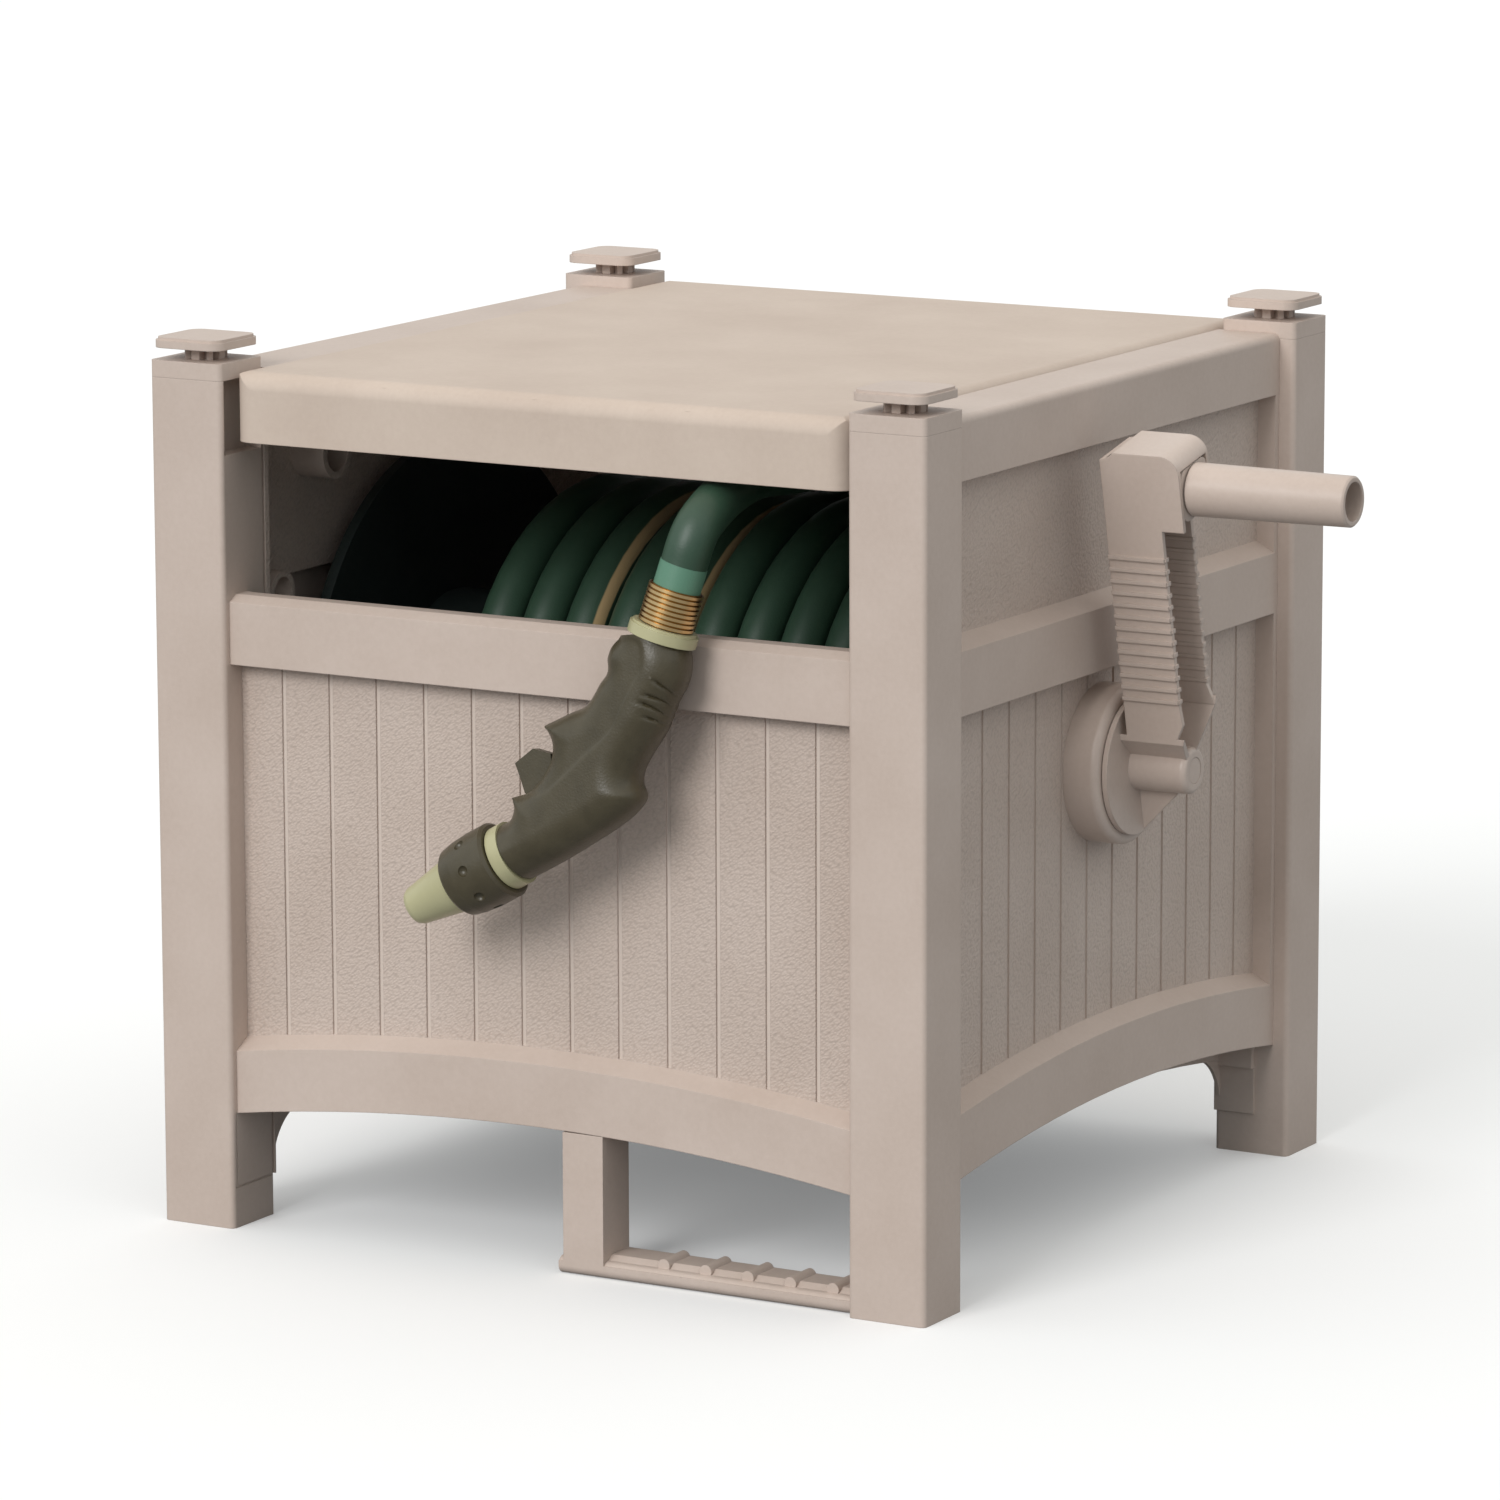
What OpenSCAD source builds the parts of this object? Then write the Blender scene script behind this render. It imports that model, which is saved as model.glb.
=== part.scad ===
/* [Cabinet] */
// Width over the corner posts, left to right
cabinet_w = 459; // [449:1:469]
// Depth over the corner posts, front to back
cabinet_d = 455; // [447:1:463]
// Height of a corner post with its cap
post_h = 460; // [455:1:466]
// Width of a corner post, left to right
post_w = 44; // [40:1:46]
// Depth of a corner post, front to back
post_d = 40; // [36:1:42]
// Wall of a hollow post
post_wall = 3; // [2:0.5:4]
// Radius on the upright edges of a post
post_edge_r = 3; // [2:0.5:4]
// Thickness of a post cap
cap_t = 9; // [7:1:12]
// Side of the square plate on a corner pin
pin_plate = 42; // [34:1:44]
// Thickness of that plate
pin_plate_t = 5.5; // [4:0.5:7]
// Gap under that plate, where the cross-shaped neck shows
pin_neck_h = 6.5; // [5:0.5:9]
// Radius of the shank of a corner pin
pin_shank_r = 8; // [6:0.5:9]

/* [Panels] */
// Wall of a grooved panel
panel_t = 4; // [3:0.5:5]
// Wall of the rails and flanges moulded on a panel
rail_wall = 3; // [2:0.5:3.5]
// How far a rail stands out from the grooved wall
rail_proud = 11; // [9:1:13]
// Set-back of the side rails from the outside of the posts
side_inset = 9; // [7:1:11]
// Set-back of the front and back rails from the outside of the posts
front_inset = 5; // [4:1:7]
// Height of the flat face of a middle or top rail
rail_h = 33; // [30:1:36]
// Height of the sloped top of a rail
rail_bevel = 6; // [4:1:8]
// Bottom of the middle rail, which is the sill of the hose opening
mid_rail_z = 302; // [296:1:306]
// Bottom of the top rail on a side
top_rail_z = 421; // [417:1:424]
// Bottom of the top rail on the back
back_rail_z = 392; // [386:1:393]
// Height of the arched bottom rail where it meets a post
arch_z = 62; // [56:1:66]
// Rise of the arch at the middle of a panel
arch_rise = 14; // [10:1:18]
// Distance between two grooves
groove_pitch = 29; // [26:0.5:29]
// Number of grooves in a panel
groove_n = 12; // [8:1:12]
// Width of a groove
groove_w = 2.6; // [1.5:0.1:4]
// Depth of a groove
groove_depth = 1; // [0.5:0.1:1.5]
// Height at which the end flanges of the side panels stop above the floor
stile_z = 22; // [16:1:30]

/* [Lid] */
// Thickness of the lid
lid_t = 3; // [2.5:0.5:4]
// Gap between the lid and a post
lid_gap = 3; // [2:0.5:4]
// How far the top of the lid lies below the top of the posts
lid_drop = 4; // [2:0.5:6]
// Height of the apron along the front of the lid
apron_h = 36.5; // [30:0.5:40]
// Height of the edge along the sides of the lid
skirt_h = 12; // [8:1:14]
// Radius of the front top edge
lid_front_r = 9; // [6:1:12]
// Radius of the upright front corners
lid_corner_r = 12; // [8:1:16]
// Radius of the pivot stubs at the back of the lid
lid_pivot_r = 4; // [3:0.5:4.5]

/* [Foothold] */
// Left edge of the foothold, from the middle of the cabinet
foot_left = 15; // [5:1:30]
// Width of its upright leg
foot_leg_w = 24; // [18:1:30]
// Depth of the step, front to back
foot_d = 26; // [22:1:30]
// Height of the front lip of the step
foot_lip_h = 9; // [7:0.5:10]
// Height of the back of the step
foot_step_h = 11.5; // [11:0.5:14]
// Distance between two grip ridges
ridge_pitch = 24.8; // [20:0.2:26]
// Radius of a grip ridge
ridge_r = 3.5; // [2.5:0.5:4.5]
// Number of grip ridges
ridge_n = 5; // [3:1:5]

/* [Reel] */
// Height of the reel axis above the floor
reel_z = 250; // [246:1:254]
// Radius of a reel flange
flange_r = 145; // [140:1:150]
// Thickness of a reel flange
flange_t = 3; // [2.5:0.5:4]
// Gap between the inner face of a reel flange and the inside of a side panel
flange_room = 19.5; // [17.5:0.5:22]
// Radius of the drum
drum_r = 60; // [50:1:64]
// Wall of the drum
drum_wall = 4; // [3:0.5:5]
// Radius of a journal
journal_r = 17; // [16:0.5:19]
// Number of ribs on a reel flange
flange_rib_n = 8; // [6:1:12]

/* [Water inlet] */
// Radius of the threaded inlet stub
inlet_r = 13.3; // [12:0.1:15]
// Radius of the water way
inlet_bore_r = 6; // [5:0.5:7]
// Radius of the inlet flange on the left panel
inlet_flange_r = 34; // [33:0.5:38]
// Radius of the nose that the rotating pipe turns on
nose_r = 10; // [9:0.5:11]

/* [Crank] */
// Radius of the round collar on the right panel
collar_r = 42; // [40:0.5:46]
// Radius of the disc at the foot of the crank
crank_disc_r = 36.5; // [34:0.5:39]
// Distance from the reel axis to the grip axis
crank_r = 157; // [150:1:165]
// Lean of the crank towards the front, in degrees
crank_lean = 12.5; // [0:0.5:30]
// Half width of the crank arm
arm_half_w = 17.2; // [16.5:0.1:19]
// Wall of the crank arm
arm_wall = 2.6; // [2:0.1:2.8]
// Depth of the crank arm's channel
arm_depth = 32; // [30:1:34]
// Depth of the crank's head
head_depth = 44.5; // [43:0.5:47]
// Number of grip ribs on each side of the arm
arm_rib_n = 13; // [8:1:13]
// Distance between two of those ribs
arm_rib_pitch = 6.5; // [5:0.1:6.5]
// Radius of the grip at its foot
grip_r = 13.9; // [12.5:0.1:14]
// Radius of the grip at its open end
grip_tip_r = 13.15; // [12:0.05:13.5]
// Wall of the grip
grip_wall = 3; // [2.5:0.1:3.5]
// Length of the grip
grip_len = 89; // [80:1:95]

/* [Hose] */
// Diameter of the hose
hose_d = 24; // [20:0.5:25]
// Radius from the reel axis to the middle of the outer layer of hose
wound_r = 118; // [112:1:120]
// Distance between two turns of the outer layer
wound_pitch = 26; // [25.6:0.1:26.4]
// Number of turns in the outer layer
wound_turns = 10.3; // [6:0.1:10.3]
// Radius of the ribbed brass coupling
coupling_r = 14.3; // [13.5:0.1:16]

/* [Nozzle] */
// Radius of the pale collar at the nozzle's inlet
nozzle_collar_r = 18; // [17:0.5:20]
// Radius of the pale ring behind the twist collar
barrel_ring_r = 17; // [16:0.5:18]
// Largest radius of the twist collar
twist_r = 20.5; // [19:0.5:22]
// Radius of the spray opening's rim
tip_r = 9.25; // [8:0.25:10]
// Half thickness of the trigger blade
trigger_half_t = 3; // [2:0.25:3.5]

/* [Hidden] */
$fn = 96;
// Clearances: round fits, flat fits and the play between moving parts
fit = 0.05;
slip = 0.2;
play = 0.3;

resin = [0.78, 0.72, 0.66];
dark_resin = [0.13, 0.17, 0.15];
hose_green = [0.16, 0.33, 0.24];
pale_green = [0.75, 0.75, 0.57];
grey_rubber = [0.33, 0.31, 0.28];
brass = [0.68, 0.48, 0.26];
steel = [0.7, 0.7, 0.7];
black = [0.1, 0.1, 0.1];

// Half sizes of the cabinet and the inner faces of its posts
half_w = cabinet_w / 2;
half_d = cabinet_d / 2;
post_x = half_w - post_w;
post_y = half_d - post_d;
post_top = post_h - cap_t;
lid_top = post_h - lid_drop;
pin_plate_z = post_h + pin_neck_h;
post_cx = half_w - post_w / 2;
post_cy = half_d - post_d / 2;

// Outer faces of the rails and of the grooved walls
side_face = half_w - side_inset;
front_face = half_d - front_inset;
side_sheet = side_face - rail_proud;
front_sheet = front_face - rail_proud;
side_inside = side_sheet - panel_t;
front_inside = front_sheet - panel_t;
front_flange_y = front_inside - 2;
ledge_z = lid_top - 2;
sill_z = mid_rail_z + rail_h + rail_bevel - 2.5;
back_top = back_rail_z + rail_h + rail_bevel;
bracket_r = 31;
bracket_w = 17;
stile_tail = 1.2;
lip_drop = 12;

// Lid
lid_half_w = post_x - lid_gap;
lid_half_d = front_face;
lid_rear_r = 8;
lid_side_r = 7;
apron_z = lid_top - apron_h;
pivot_y = lid_half_d - 9.5;
pivot_z = lid_top - 10;
pivot_boss_r = lid_pivot_r + 4;

// Reel, along its axis
flange_x = side_inside - flange_room;
hub_r = journal_r + 7;
bearing_t = 4;
bearing_r = journal_r + 5;
rim_lip = 6;
pipe_bell_r = nose_r + 4;
inlet_x = side_sheet + 4;
inlet_dome_x = inlet_x + 8.5;
inlet_dome_r = 26;
inlet_nose_len = 19;
o_ring_at = [9, 15];
inlet_tip = inlet_x + 30.5;
inlet_screw_r = inlet_flange_r - 4.5;
elbow_x = flange_x - 66;
journal_end = side_sheet + 18.5;
socket_x = side_sheet - 5.5;
socket_w = 16;

// Crank, along the reel axis
collar_x = side_sheet + 19.5;
collar_screw_r = 31;
disc_x = collar_x + 0.5;
disc_t = 3;
web_x = disc_x + disc_t + 4;
boss_r = 12.5;
boss_x = disc_x + 35.5;
boss_cap_r = 7;
arm_x = web_x + arm_depth;
head_x = web_x + head_depth;
head_low = crank_r - 18;
head_high = crank_r + 23;
head_r = 10;
leg_low = 21;
rib_low = leg_low + 23;
rib_out = 1.2;
rib_in = 0.4;
floor_high = leg_low + 12;
knuckle_x = web_x + 18.5;
pin_r = 3;
spindle_r = 8;
grip_start = head_x + 0.5;
grip_end = head_x + grip_len;
spindle_end = grip_start + 58;

// The whole part stands on its own middle: the inlet stub and the grip reach out unequally
box_cx = (inlet_tip - grip_end) / 2;

// Wound hose: it leaves the bottom of the outer layer towards the back
wound_x = 90 - flange_x;
core_r = wound_r * cos(7.5) - hose_d / 2 * cos(30) - play;

// Nozzle: its collar point, the lean of its plane and the tilts of its handle and barrel
nozzle_at = [90, -front_face - 17.5, mid_rail_z + 45];
nozzle_lean = 8;
handle_tilt = 15;
barrel_dip = 30;
inlet_at = [-3.5, 0, -6];
barrel_at = [-79.7, 0, -120.7];
trigger_at = [-68, 0, -95];
thread_r = 12.1;
spindle_nozzle_r = 13;
coupling_top = 27;
sleeve_len = 12.5;

// A point of the nozzle's plane, and of the hose's last straight run, in the cabinet's frame
function in_plane(x, z) = nozzle_at + [x, z * sin(nozzle_lean), z * cos(nozzle_lean)];
function along_handle(s) = in_plane(inlet_at[0] + s * sin(handle_tilt), inlet_at[2] + s * cos(handle_tilt));

// Free hose: from the outer layer, up behind the reel, over it and out above the sill
hose_route = [
    [wound_x, 24, reel_z - wound_r], [wound_x, 50, 132], [wound_x - 2, 76, 135], [wound_x - 1, 103, 147],
    [wound_x + 8, 133, 188],
    [-66, 146, 237], [-38, 142, 288], [-8, 120, 334], [24, 84, 370], [52, 38, 394],
    [70, 0, 400], [74, -20, 402], [80, -60, 405], [88, -110, 409], [94, -160, 413],
    [98, -190, 410.5], [100.5, -207, 407.5], [101.5, -221, 402.5], [101, -230, 396.5],
    along_handle(coupling_top + sleeve_len + 10.5), along_handle(coupling_top + sleeve_len)
];

// Near and far edge of the nozzle's grip and barrel, and its half thickness there
grip_stations = [
    [[-28, -8], [11, -7], 16.5],
    [[-33, -24], [13, -27], 17],
    [[-38, -38], [8, -41], 16.5],
    [[-46, -52], [-1, -59], 16],
    [[-57, -65], [-9, -77], 16],
    [[-63, -76], [-7, -90], 16.5],
    [[-68, -85], [-21, -104], 17],
    [[-75, -92], [-37, -115], 17],
    [[-81, -100], [-54, -126], 17],
    [[-88.2, -106], [-71.2, -135.4], 17]
];

// Frames
module at_box() { translate([box_cx, 0, 0]) children(); }
module at_reel() { at_box() translate([0, 0, reel_z]) children(); }
module at_crank() { at_reel() rotate([crank_lean, 0, 0]) children(); }
module at_nozzle() { at_box() translate(nozzle_at) rotate([-nozzle_lean, 0, 0]) children(); }
module at_handle() { at_nozzle() translate(inlet_at) rotate([0, handle_tilt, 0]) children(); }
module at_barrel() { at_nozzle() translate(barrel_at) rotate([0, -90 - barrel_dip, 0]) children(); }
module to_left() { mirror([1, 0, 0]) children(); }
module flip_x(on) { if (on) mirror([1, 0, 0]) children(); else children(); }
module flip_y(on) { if (on) mirror([0, 1, 0]) children(); else children(); }

// A rectangle with round corners, on its middle
module round_rect(w, d, r) {
    square([w - 2 * r, d], center = true);
    square([w, d - 2 * r], center = true);
    for (x = [-1, 1], y = [-1, 1]) translate([x * (w / 2 - r), y * (d / 2 - r)]) circle(r);
}

// Points of radius and place along the axis, turned about the X axis
module turned_x(points) { rotate([0, 90, 0]) rotate_extrude() polygon(points); }
module rod_x(r, x0, x1) { translate([x0, 0, 0]) rotate([0, 90, 0]) cylinder(r = r, h = x1 - x0); }
module rod_y(r, y0, y1) { translate([0, y1, 0]) rotate([90, 0, 0]) cylinder(r = r, h = y1 - y0); }
module box(x0, x1, y0, y1, z0, z1) { translate([x0, y0, z0]) cube([x1 - x0, y1 - y0, z1 - z0]); }

// An upright outline of width and height, drawn from one distance to another in front of the middle
module upright(t0, t1) { rotate([90, 0, 0]) translate([0, 0, t0]) linear_extrude(t1 - t0) children(); }

// A tube of flat-sided rings along a list of points
module tube(points, r, sides) {
    n = len(points);
    rings = [for (i = [0:n - 1])
        let (ahead = points[min(i + 1, n - 1)] - points[i], behind = points[i] - points[max(i - 1, 0)])
        let (t = (ahead / max(norm(ahead), 0.001) + behind / max(norm(behind), 0.001)))
        let (d = t / norm(t), across = [1, 0, 0] - d[0] * d)
        let (e1 = across / norm(across), e2 = cross(d, e1))
        [for (k = [0:sides - 1]) points[i] + r * (cos(360 * k / sides) * e1 + sin(360 * k / sides) * e2)]];
    walls = [for (i = [0:n - 2], k = [0:sides - 1], half = [0, 1])
        let (a = i * sides + k, b = i * sides + (k + 1) % sides)
        half == 0 ? [a, a + sides, b] : [b, a + sides, b + sides]];
    caps = [[for (k = [0:sides - 1]) k], [for (k = [0:sides - 1]) n * sides - 1 - k]];
    polyhedron([for (ring = rings, p = ring) p], concat(walls, caps));
}

// Panels are drawn as the front one and turned into place

// Section of a rail in height and distance from the middle, outside and hollow
function rail_outside(face, sheet) = [
    [0, sheet - panel_t], [0, face], [rail_h, face], [rail_h + rail_bevel, sheet],
    [rail_h + rail_bevel, sheet - panel_t]];
function rail_hollow(face, sheet) = [
    [rail_wall, sheet - panel_t - 1], [rail_wall, face - rail_wall], [rail_h - 1, face - rail_wall],
    [rail_h + rail_bevel - rail_wall - 2, sheet - rail_wall], [rail_h + rail_bevel - rail_wall - 2,
    sheet - panel_t - 1]];

module straight_rail(half, z, points) {
    translate([-half, 0, z]) rotate([90, 0, 90]) linear_extrude(2 * half)
        polygon([for (p = points) [-p[1], p[0]]]);
}

function arch_radius(half) = (half * half + arch_rise * arch_rise) / (2 * arch_rise);

// A band that follows the arch, from points of height over the arch and distance from the middle;
// it stops short of the post by the given end
module arch_band(half, points, end = 0) {
    r = arch_radius(half);
    intersection() {
        rotate([90, 0, 0]) translate([0, arch_z + arch_rise - r, 0]) rotate([0, 0, 80])
            rotate_extrude(angle = 20, $fn = 720) polygon([for (p = points) [r + p[0], p[1]]]);
        box(-half + end, half - end, -half_d, 0, 0, post_h);
    }
}

// The rails of a panel: full, or as the hollows that open to the back
module rails(half, points, heights, end = 0) {
    arch_band(half, points, end);
    for (z = heights) straight_rail(half - end, z, points);
}

module grooved_sheet(half, sheet, top) {
    r = arch_radius(half);
    difference() {
        upright(sheet - panel_t, sheet) difference() {
            translate([-half, 0]) square([2 * half, top]);
            translate([0, arch_z + arch_rise - r]) circle(r + rail_wall / 2, $fn = 720);
        }
        for (i = [0:groove_n - 1])
            translate([(i - (groove_n - 1) / 2) * groove_pitch, 0, 0])
                box(-groove_w / 2, groove_w / 2, -sheet - 1, -sheet + groove_depth, arch_z, mid_rail_z + 1);
    }
}

// Ends of a panel, which lie against the posts
module end_flanges(half, inner, face, low, top, wall) {
    for (side = [-1, 1])
        translate([side * (half - wall / 2), 0, 0]) box(-wall / 2, wall / 2, -face, -inner, low, top);
}

module side_panel_body() {
    half = post_y;
    stile = 4;
    lip = post_x + 1;
    difference() {
        union() {
            grooved_sheet(half, side_sheet, top_rail_z + rail_wall);
            rails(half, rail_outside(side_face, side_sheet), [mid_rail_z]);
        }
        rails(half, rail_hollow(side_face, side_sheet), [mid_rail_z], stile);
    }
    // Plain band under the lid with the ledge beside it
    box(-half, half, -side_face, -side_face + rail_wall, top_rail_z, ledge_z - stile);
    box(-half, half, -side_face, -side_inside, top_rail_z, top_rail_z + rail_wall);
    box(-half, half, -side_face + 4, -post_x + 1.5, ledge_z - rail_wall, ledge_z);
    translate([-half, -side_face + 4, ledge_z - 4]) rotate([0, 90, 0]) cylinder(r = 4, h = 2 * half);
    end_flanges(half, post_x, side_face, arch_z + 1, ledge_z - 4, stile);
    end_flanges(half, post_x, side_sheet, arch_z - lip_drop - 2, arch_z + 2, stile);
    end_flanges(half, post_x, side_sheet, stile_z, arch_z - lip_drop - 1, stile_tail);
    // Floor of the tray along the arch with its lip, and the round brackets under the ends of the lip
    arch_band(half, [[-lip_drop, lip], [-lip_drop, lip + rail_wall], [0, lip + rail_wall], [0, side_sheet],
        [rail_wall, side_sheet], [rail_wall, lip]], stile / 2);
    upright(lip + 0.5, lip + rail_wall - 0.5) for (left = [false, true]) flip_x(left) difference() {
        translate([half - bracket_w - 0.6, stile_z + 2]) square([bracket_w, arch_z - stile_z - 6]);
        translate([half - bracket_r - 0.6, stile_z + 2]) circle(bracket_r);
    }
    // Sockets moulded inside the opening
    for (spot = [[118, 400, 14, 10, 20.5], [160, 330.5, 11.2, 8.2, 12.5]], side = [-1, 1])
        translate([side * spot[0], 0, spot[1]]) difference() {
            rod_y(spot[2], -side_inside - 1, -side_inside + spot[4]);
            rod_y(spot[3], -side_inside + 0.5, -side_inside + spot[4] + 1);
        }
}

module left_panel() {
    color(resin) at_box() difference() {
        rotate([0, 0, -90]) side_panel_body();
        translate([0, 0, reel_z]) to_left() {
            rod_x(bearing_r + 0.1, side_inside - 1, side_sheet + 1);
            inlet_screw_holes(side_inside - 1, side_sheet + 1);
        }
    }
}

module right_panel() {
    color(resin) at_box() difference() {
        rotate([0, 0, 90]) side_panel_body();
        translate([0, 0, reel_z]) {
            rod_x(journal_r + 0.6, side_inside - 1, side_sheet + 1);
            collar_screw_rods(2.1, side_inside - 1, side_sheet + 1);
        }
    }
}

foot_screw_x = [foot_left + foot_leg_w / 4, foot_left + foot_leg_w * 3 / 4];
foot_screw_z = arch_z + arch_rise + rail_h / 2;

// Front and back panel: a wall with its rails, and flanges to the back
module flat_panel(top, heights) {
    difference() {
        union() {
            grooved_sheet(post_x, front_sheet, top);
            rails(post_x, rail_outside(front_face, front_sheet), heights);
        }
        rails(post_x, rail_hollow(front_face, front_sheet), heights, rail_wall);
    }
    end_flanges(post_x, front_flange_y, front_sheet, arch_z + 2, top, rail_wall);
    arch_band(post_x, [[0, front_flange_y], [0, front_sheet], [rail_wall, front_sheet],
        [rail_wall, front_flange_y]]);
}

module front_panel() {
    color(resin) at_box() {
        difference() {
            flat_panel(sill_z, [mid_rail_z]);
            box(-half_w, half_w, -half_d, 0, sill_z, sill_z + 2 * rail_bevel);
        }
        for (x = foot_screw_x) translate([x, 0, foot_screw_z]) difference() {
            rod_y(4.5, -front_face + 1, -front_flange_y);
            rod_y(2 + fit, -front_face + rail_wall, -front_flange_y + 1);
        }
    }
}

module back_panel() { color(resin) at_box() rotate([0, 0, 180]) flat_panel(back_top, [mid_rail_z, back_rail_z]); }

// Corner posts, drawn as the right rear one

notch_depth = 9.5;
notch_z = apron_z - 7.5;
foot_tab_z = 5;
foot_tab_h = 8;

module post_tube() {
    translate([post_cx, post_cy, 0]) difference() {
        linear_extrude(post_top) round_rect(post_w, post_d, post_edge_r);
        translate([-post_w / 2 + post_wall, -post_d / 2 + post_wall, post_wall])
            cube([post_w - 2 * post_wall, post_d - 2 * post_wall, post_h]);
    }
}

module post(left, front) {
    color(resin) at_box() flip_x(left) flip_y(front) difference() {
        union() {
            post_tube();
            if (front) box(post_x + 1, post_x + notch_depth + post_wall, post_y + 1, half_d - 1,
                notch_z - post_wall, post_top);
        }
        // Fine seam low on the inner face
        box(post_x - 1, post_x + 0.6, post_y - 1, half_d - post_edge_r, stile_z - 0.5, stile_z + 0.5);
        box(post_x - 1, post_x + 0.6, half_d - post_edge_r - 2, half_d - post_edge_r - 1, stile_z, arch_z);
        if (front) box(post_x - 1, post_x + notch_depth, post_y + post_wall, half_d - post_wall, notch_z,
            post_h);
        if (front && !left) box(post_x - 1, post_x + post_wall + 1, front_face - 18 - slip,
            front_face - 6 + slip, foot_tab_z - slip, foot_tab_z + foot_tab_h + slip);
        if (!front) translate([0, pivot_y, pivot_z]) rod_x(lid_pivot_r + fit, post_x - 1, post_x + post_wall + 1);
    }
}

module post_cap(left, front) {
    color(resin) at_box() flip_x(left) flip_y(front) translate([post_cx, post_cy, 0]) difference() {
        union() {
            translate([0, 0, post_top]) linear_extrude(cap_t) round_rect(post_w, post_d, post_edge_r);
            translate([0, 0, post_top - cap_t]) linear_extrude(cap_t)
                square([post_w - 2 * (post_wall + slip), post_d - 2 * (post_wall + slip)], center = true);
        }
        translate([0, 0, post_top - cap_t - 1]) linear_extrude(cap_t - 1)
            square([post_w - 2 * (post_wall + slip + 2), post_d - 2 * (post_wall + slip + 2)], center = true);
        translate([0, 0, post_top - cap_t - 1]) cylinder(r = pin_shank_r + 0.1, h = 2 * cap_t + 2);
        if (front) translate([-post_w / 2, -post_d / 2, post_top - cap_t - 1])
            cube([notch_depth + post_wall + slip, post_d, cap_t + 1]);
    }
}

module corner_pin(left, front) {
    color(resin) at_box() flip_x(left) flip_y(front) translate([post_cx, post_cy, 0]) {
        translate([0, 0, pin_plate_z]) linear_extrude(pin_plate_t - 1.5) round_rect(pin_plate, pin_plate, 8);
        translate([0, 0, pin_plate_z + pin_plate_t - 1.5]) linear_extrude(1.5)
            round_rect(pin_plate - 2.4, pin_plate - 2.4, 7);
        translate([0, 0, post_h]) linear_extrude(pin_neck_h) {
            square([20, 5], center = true);
            square([5, 20], center = true);
            for (a = [45, -45]) rotate(a) square([22, 3], center = true);
        }
        translate([0, 0, post_top - cap_t - 4]) cylinder(r = pin_shank_r, h = 2 * cap_t + 4);
    }
}

// Lid: one moulded shell with a deep front apron

// Side view of the lid, front on the left
module lid_side(inset) {
    f = lid_half_d - inset;
    top = lid_top - inset;
    rf = lid_front_r - inset;
    rr = lid_rear_r - inset;
    translate([-f, apron_z]) square([2 * f, top - apron_z - max(rf, rr)]);
    translate([-f + rf, apron_z]) square([2 * f - rf - rr, top - apron_z]);
    translate([-f + rf, top - rf]) circle(rf);
    translate([f - rr, top - rr]) circle(rr);
    translate([-f, top - rf - 1]) square([rf, 1]);
    translate([f - rr, top - max(rf, rr) - 1]) square([rr, max(rf, rr) - rr + 1]);
}

// Plan of the lid, front at the bottom
module lid_plan(inset) {
    w = lid_half_w - inset;
    f = lid_half_d - inset;
    r = lid_corner_r - inset;
    translate([-w, -f + r]) square([2 * w, 2 * f - r]);
    translate([-w + r, -f]) square([2 * (w - r), r + 1]);
    for (side = [-1, 1]) translate([side * (w - r), -f + r]) circle(r);
}

// Front view of the lid with its rounded side edges
module lid_front(inset) {
    w = lid_half_w - inset;
    r = lid_side_r - inset;
    translate([-w, apron_z]) square([2 * w, lid_top - inset - apron_z - r]);
    translate([-w + r, apron_z]) square([2 * (w - r), lid_top - inset - apron_z]);
    for (side = [-1, 1]) translate([side * (w - r), lid_top - inset - r]) circle(r);
}

module lid_block(inset, low) {
    intersection() {
        rotate([90, 0, 0]) translate([0, 0, -half_d]) linear_extrude(cabinet_d) lid_front(inset);
        translate([-lid_half_w - 1, 0, 0]) rotate([90, 0, 90]) linear_extrude(2 * lid_half_w + 2) lid_side(inset);
        translate([0, 0, low]) linear_extrude(lid_top) lid_plan(inset);
    }
}

module lid() {
    color(resin) at_box() {
        difference() {
            lid_block(0, apron_z);
            lid_block(lid_t, apron_z - 1);
            // The sides are cut back to a shallow edge behind the apron's short returns
            box(-half_w, half_w, -lid_half_d + 16, half_d, apron_z - 1, lid_top - skirt_h);
            box(-half_w, half_w, -lid_half_d + lid_t + 4, lid_half_d - 5, apron_z - 1, lid_top - skirt_h - 8);
        }
        for (x = [-90, 0, 90]) box(x - 1.2, x + 1.2, -lid_half_d + lid_t - 0.5, lid_half_d - lid_rear_r - 12,
            lid_top - lid_t - 3, lid_top - lid_t + 0.5);
        for (side = [-1, 1]) flip_x(side < 0) {
            intersection() {
                union() {
                    translate([0, pivot_y, pivot_z]) rod_x(pivot_boss_r, lid_half_w - 9, lid_half_w - 0.5);
                    box(lid_half_w - 9, lid_half_w - 0.5, pivot_y - pivot_boss_r, pivot_y + pivot_boss_r, pivot_z,
                        lid_top - 1);
                }
                lid_block(0.4, apron_z);
            }
            translate([0, pivot_y, pivot_z]) rod_x(lid_pivot_r, lid_half_w - 2, post_x + post_wall - 0.2);
        }
    }
}

// Foothold: a hollow step on one leg, tucked under the front arch

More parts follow.
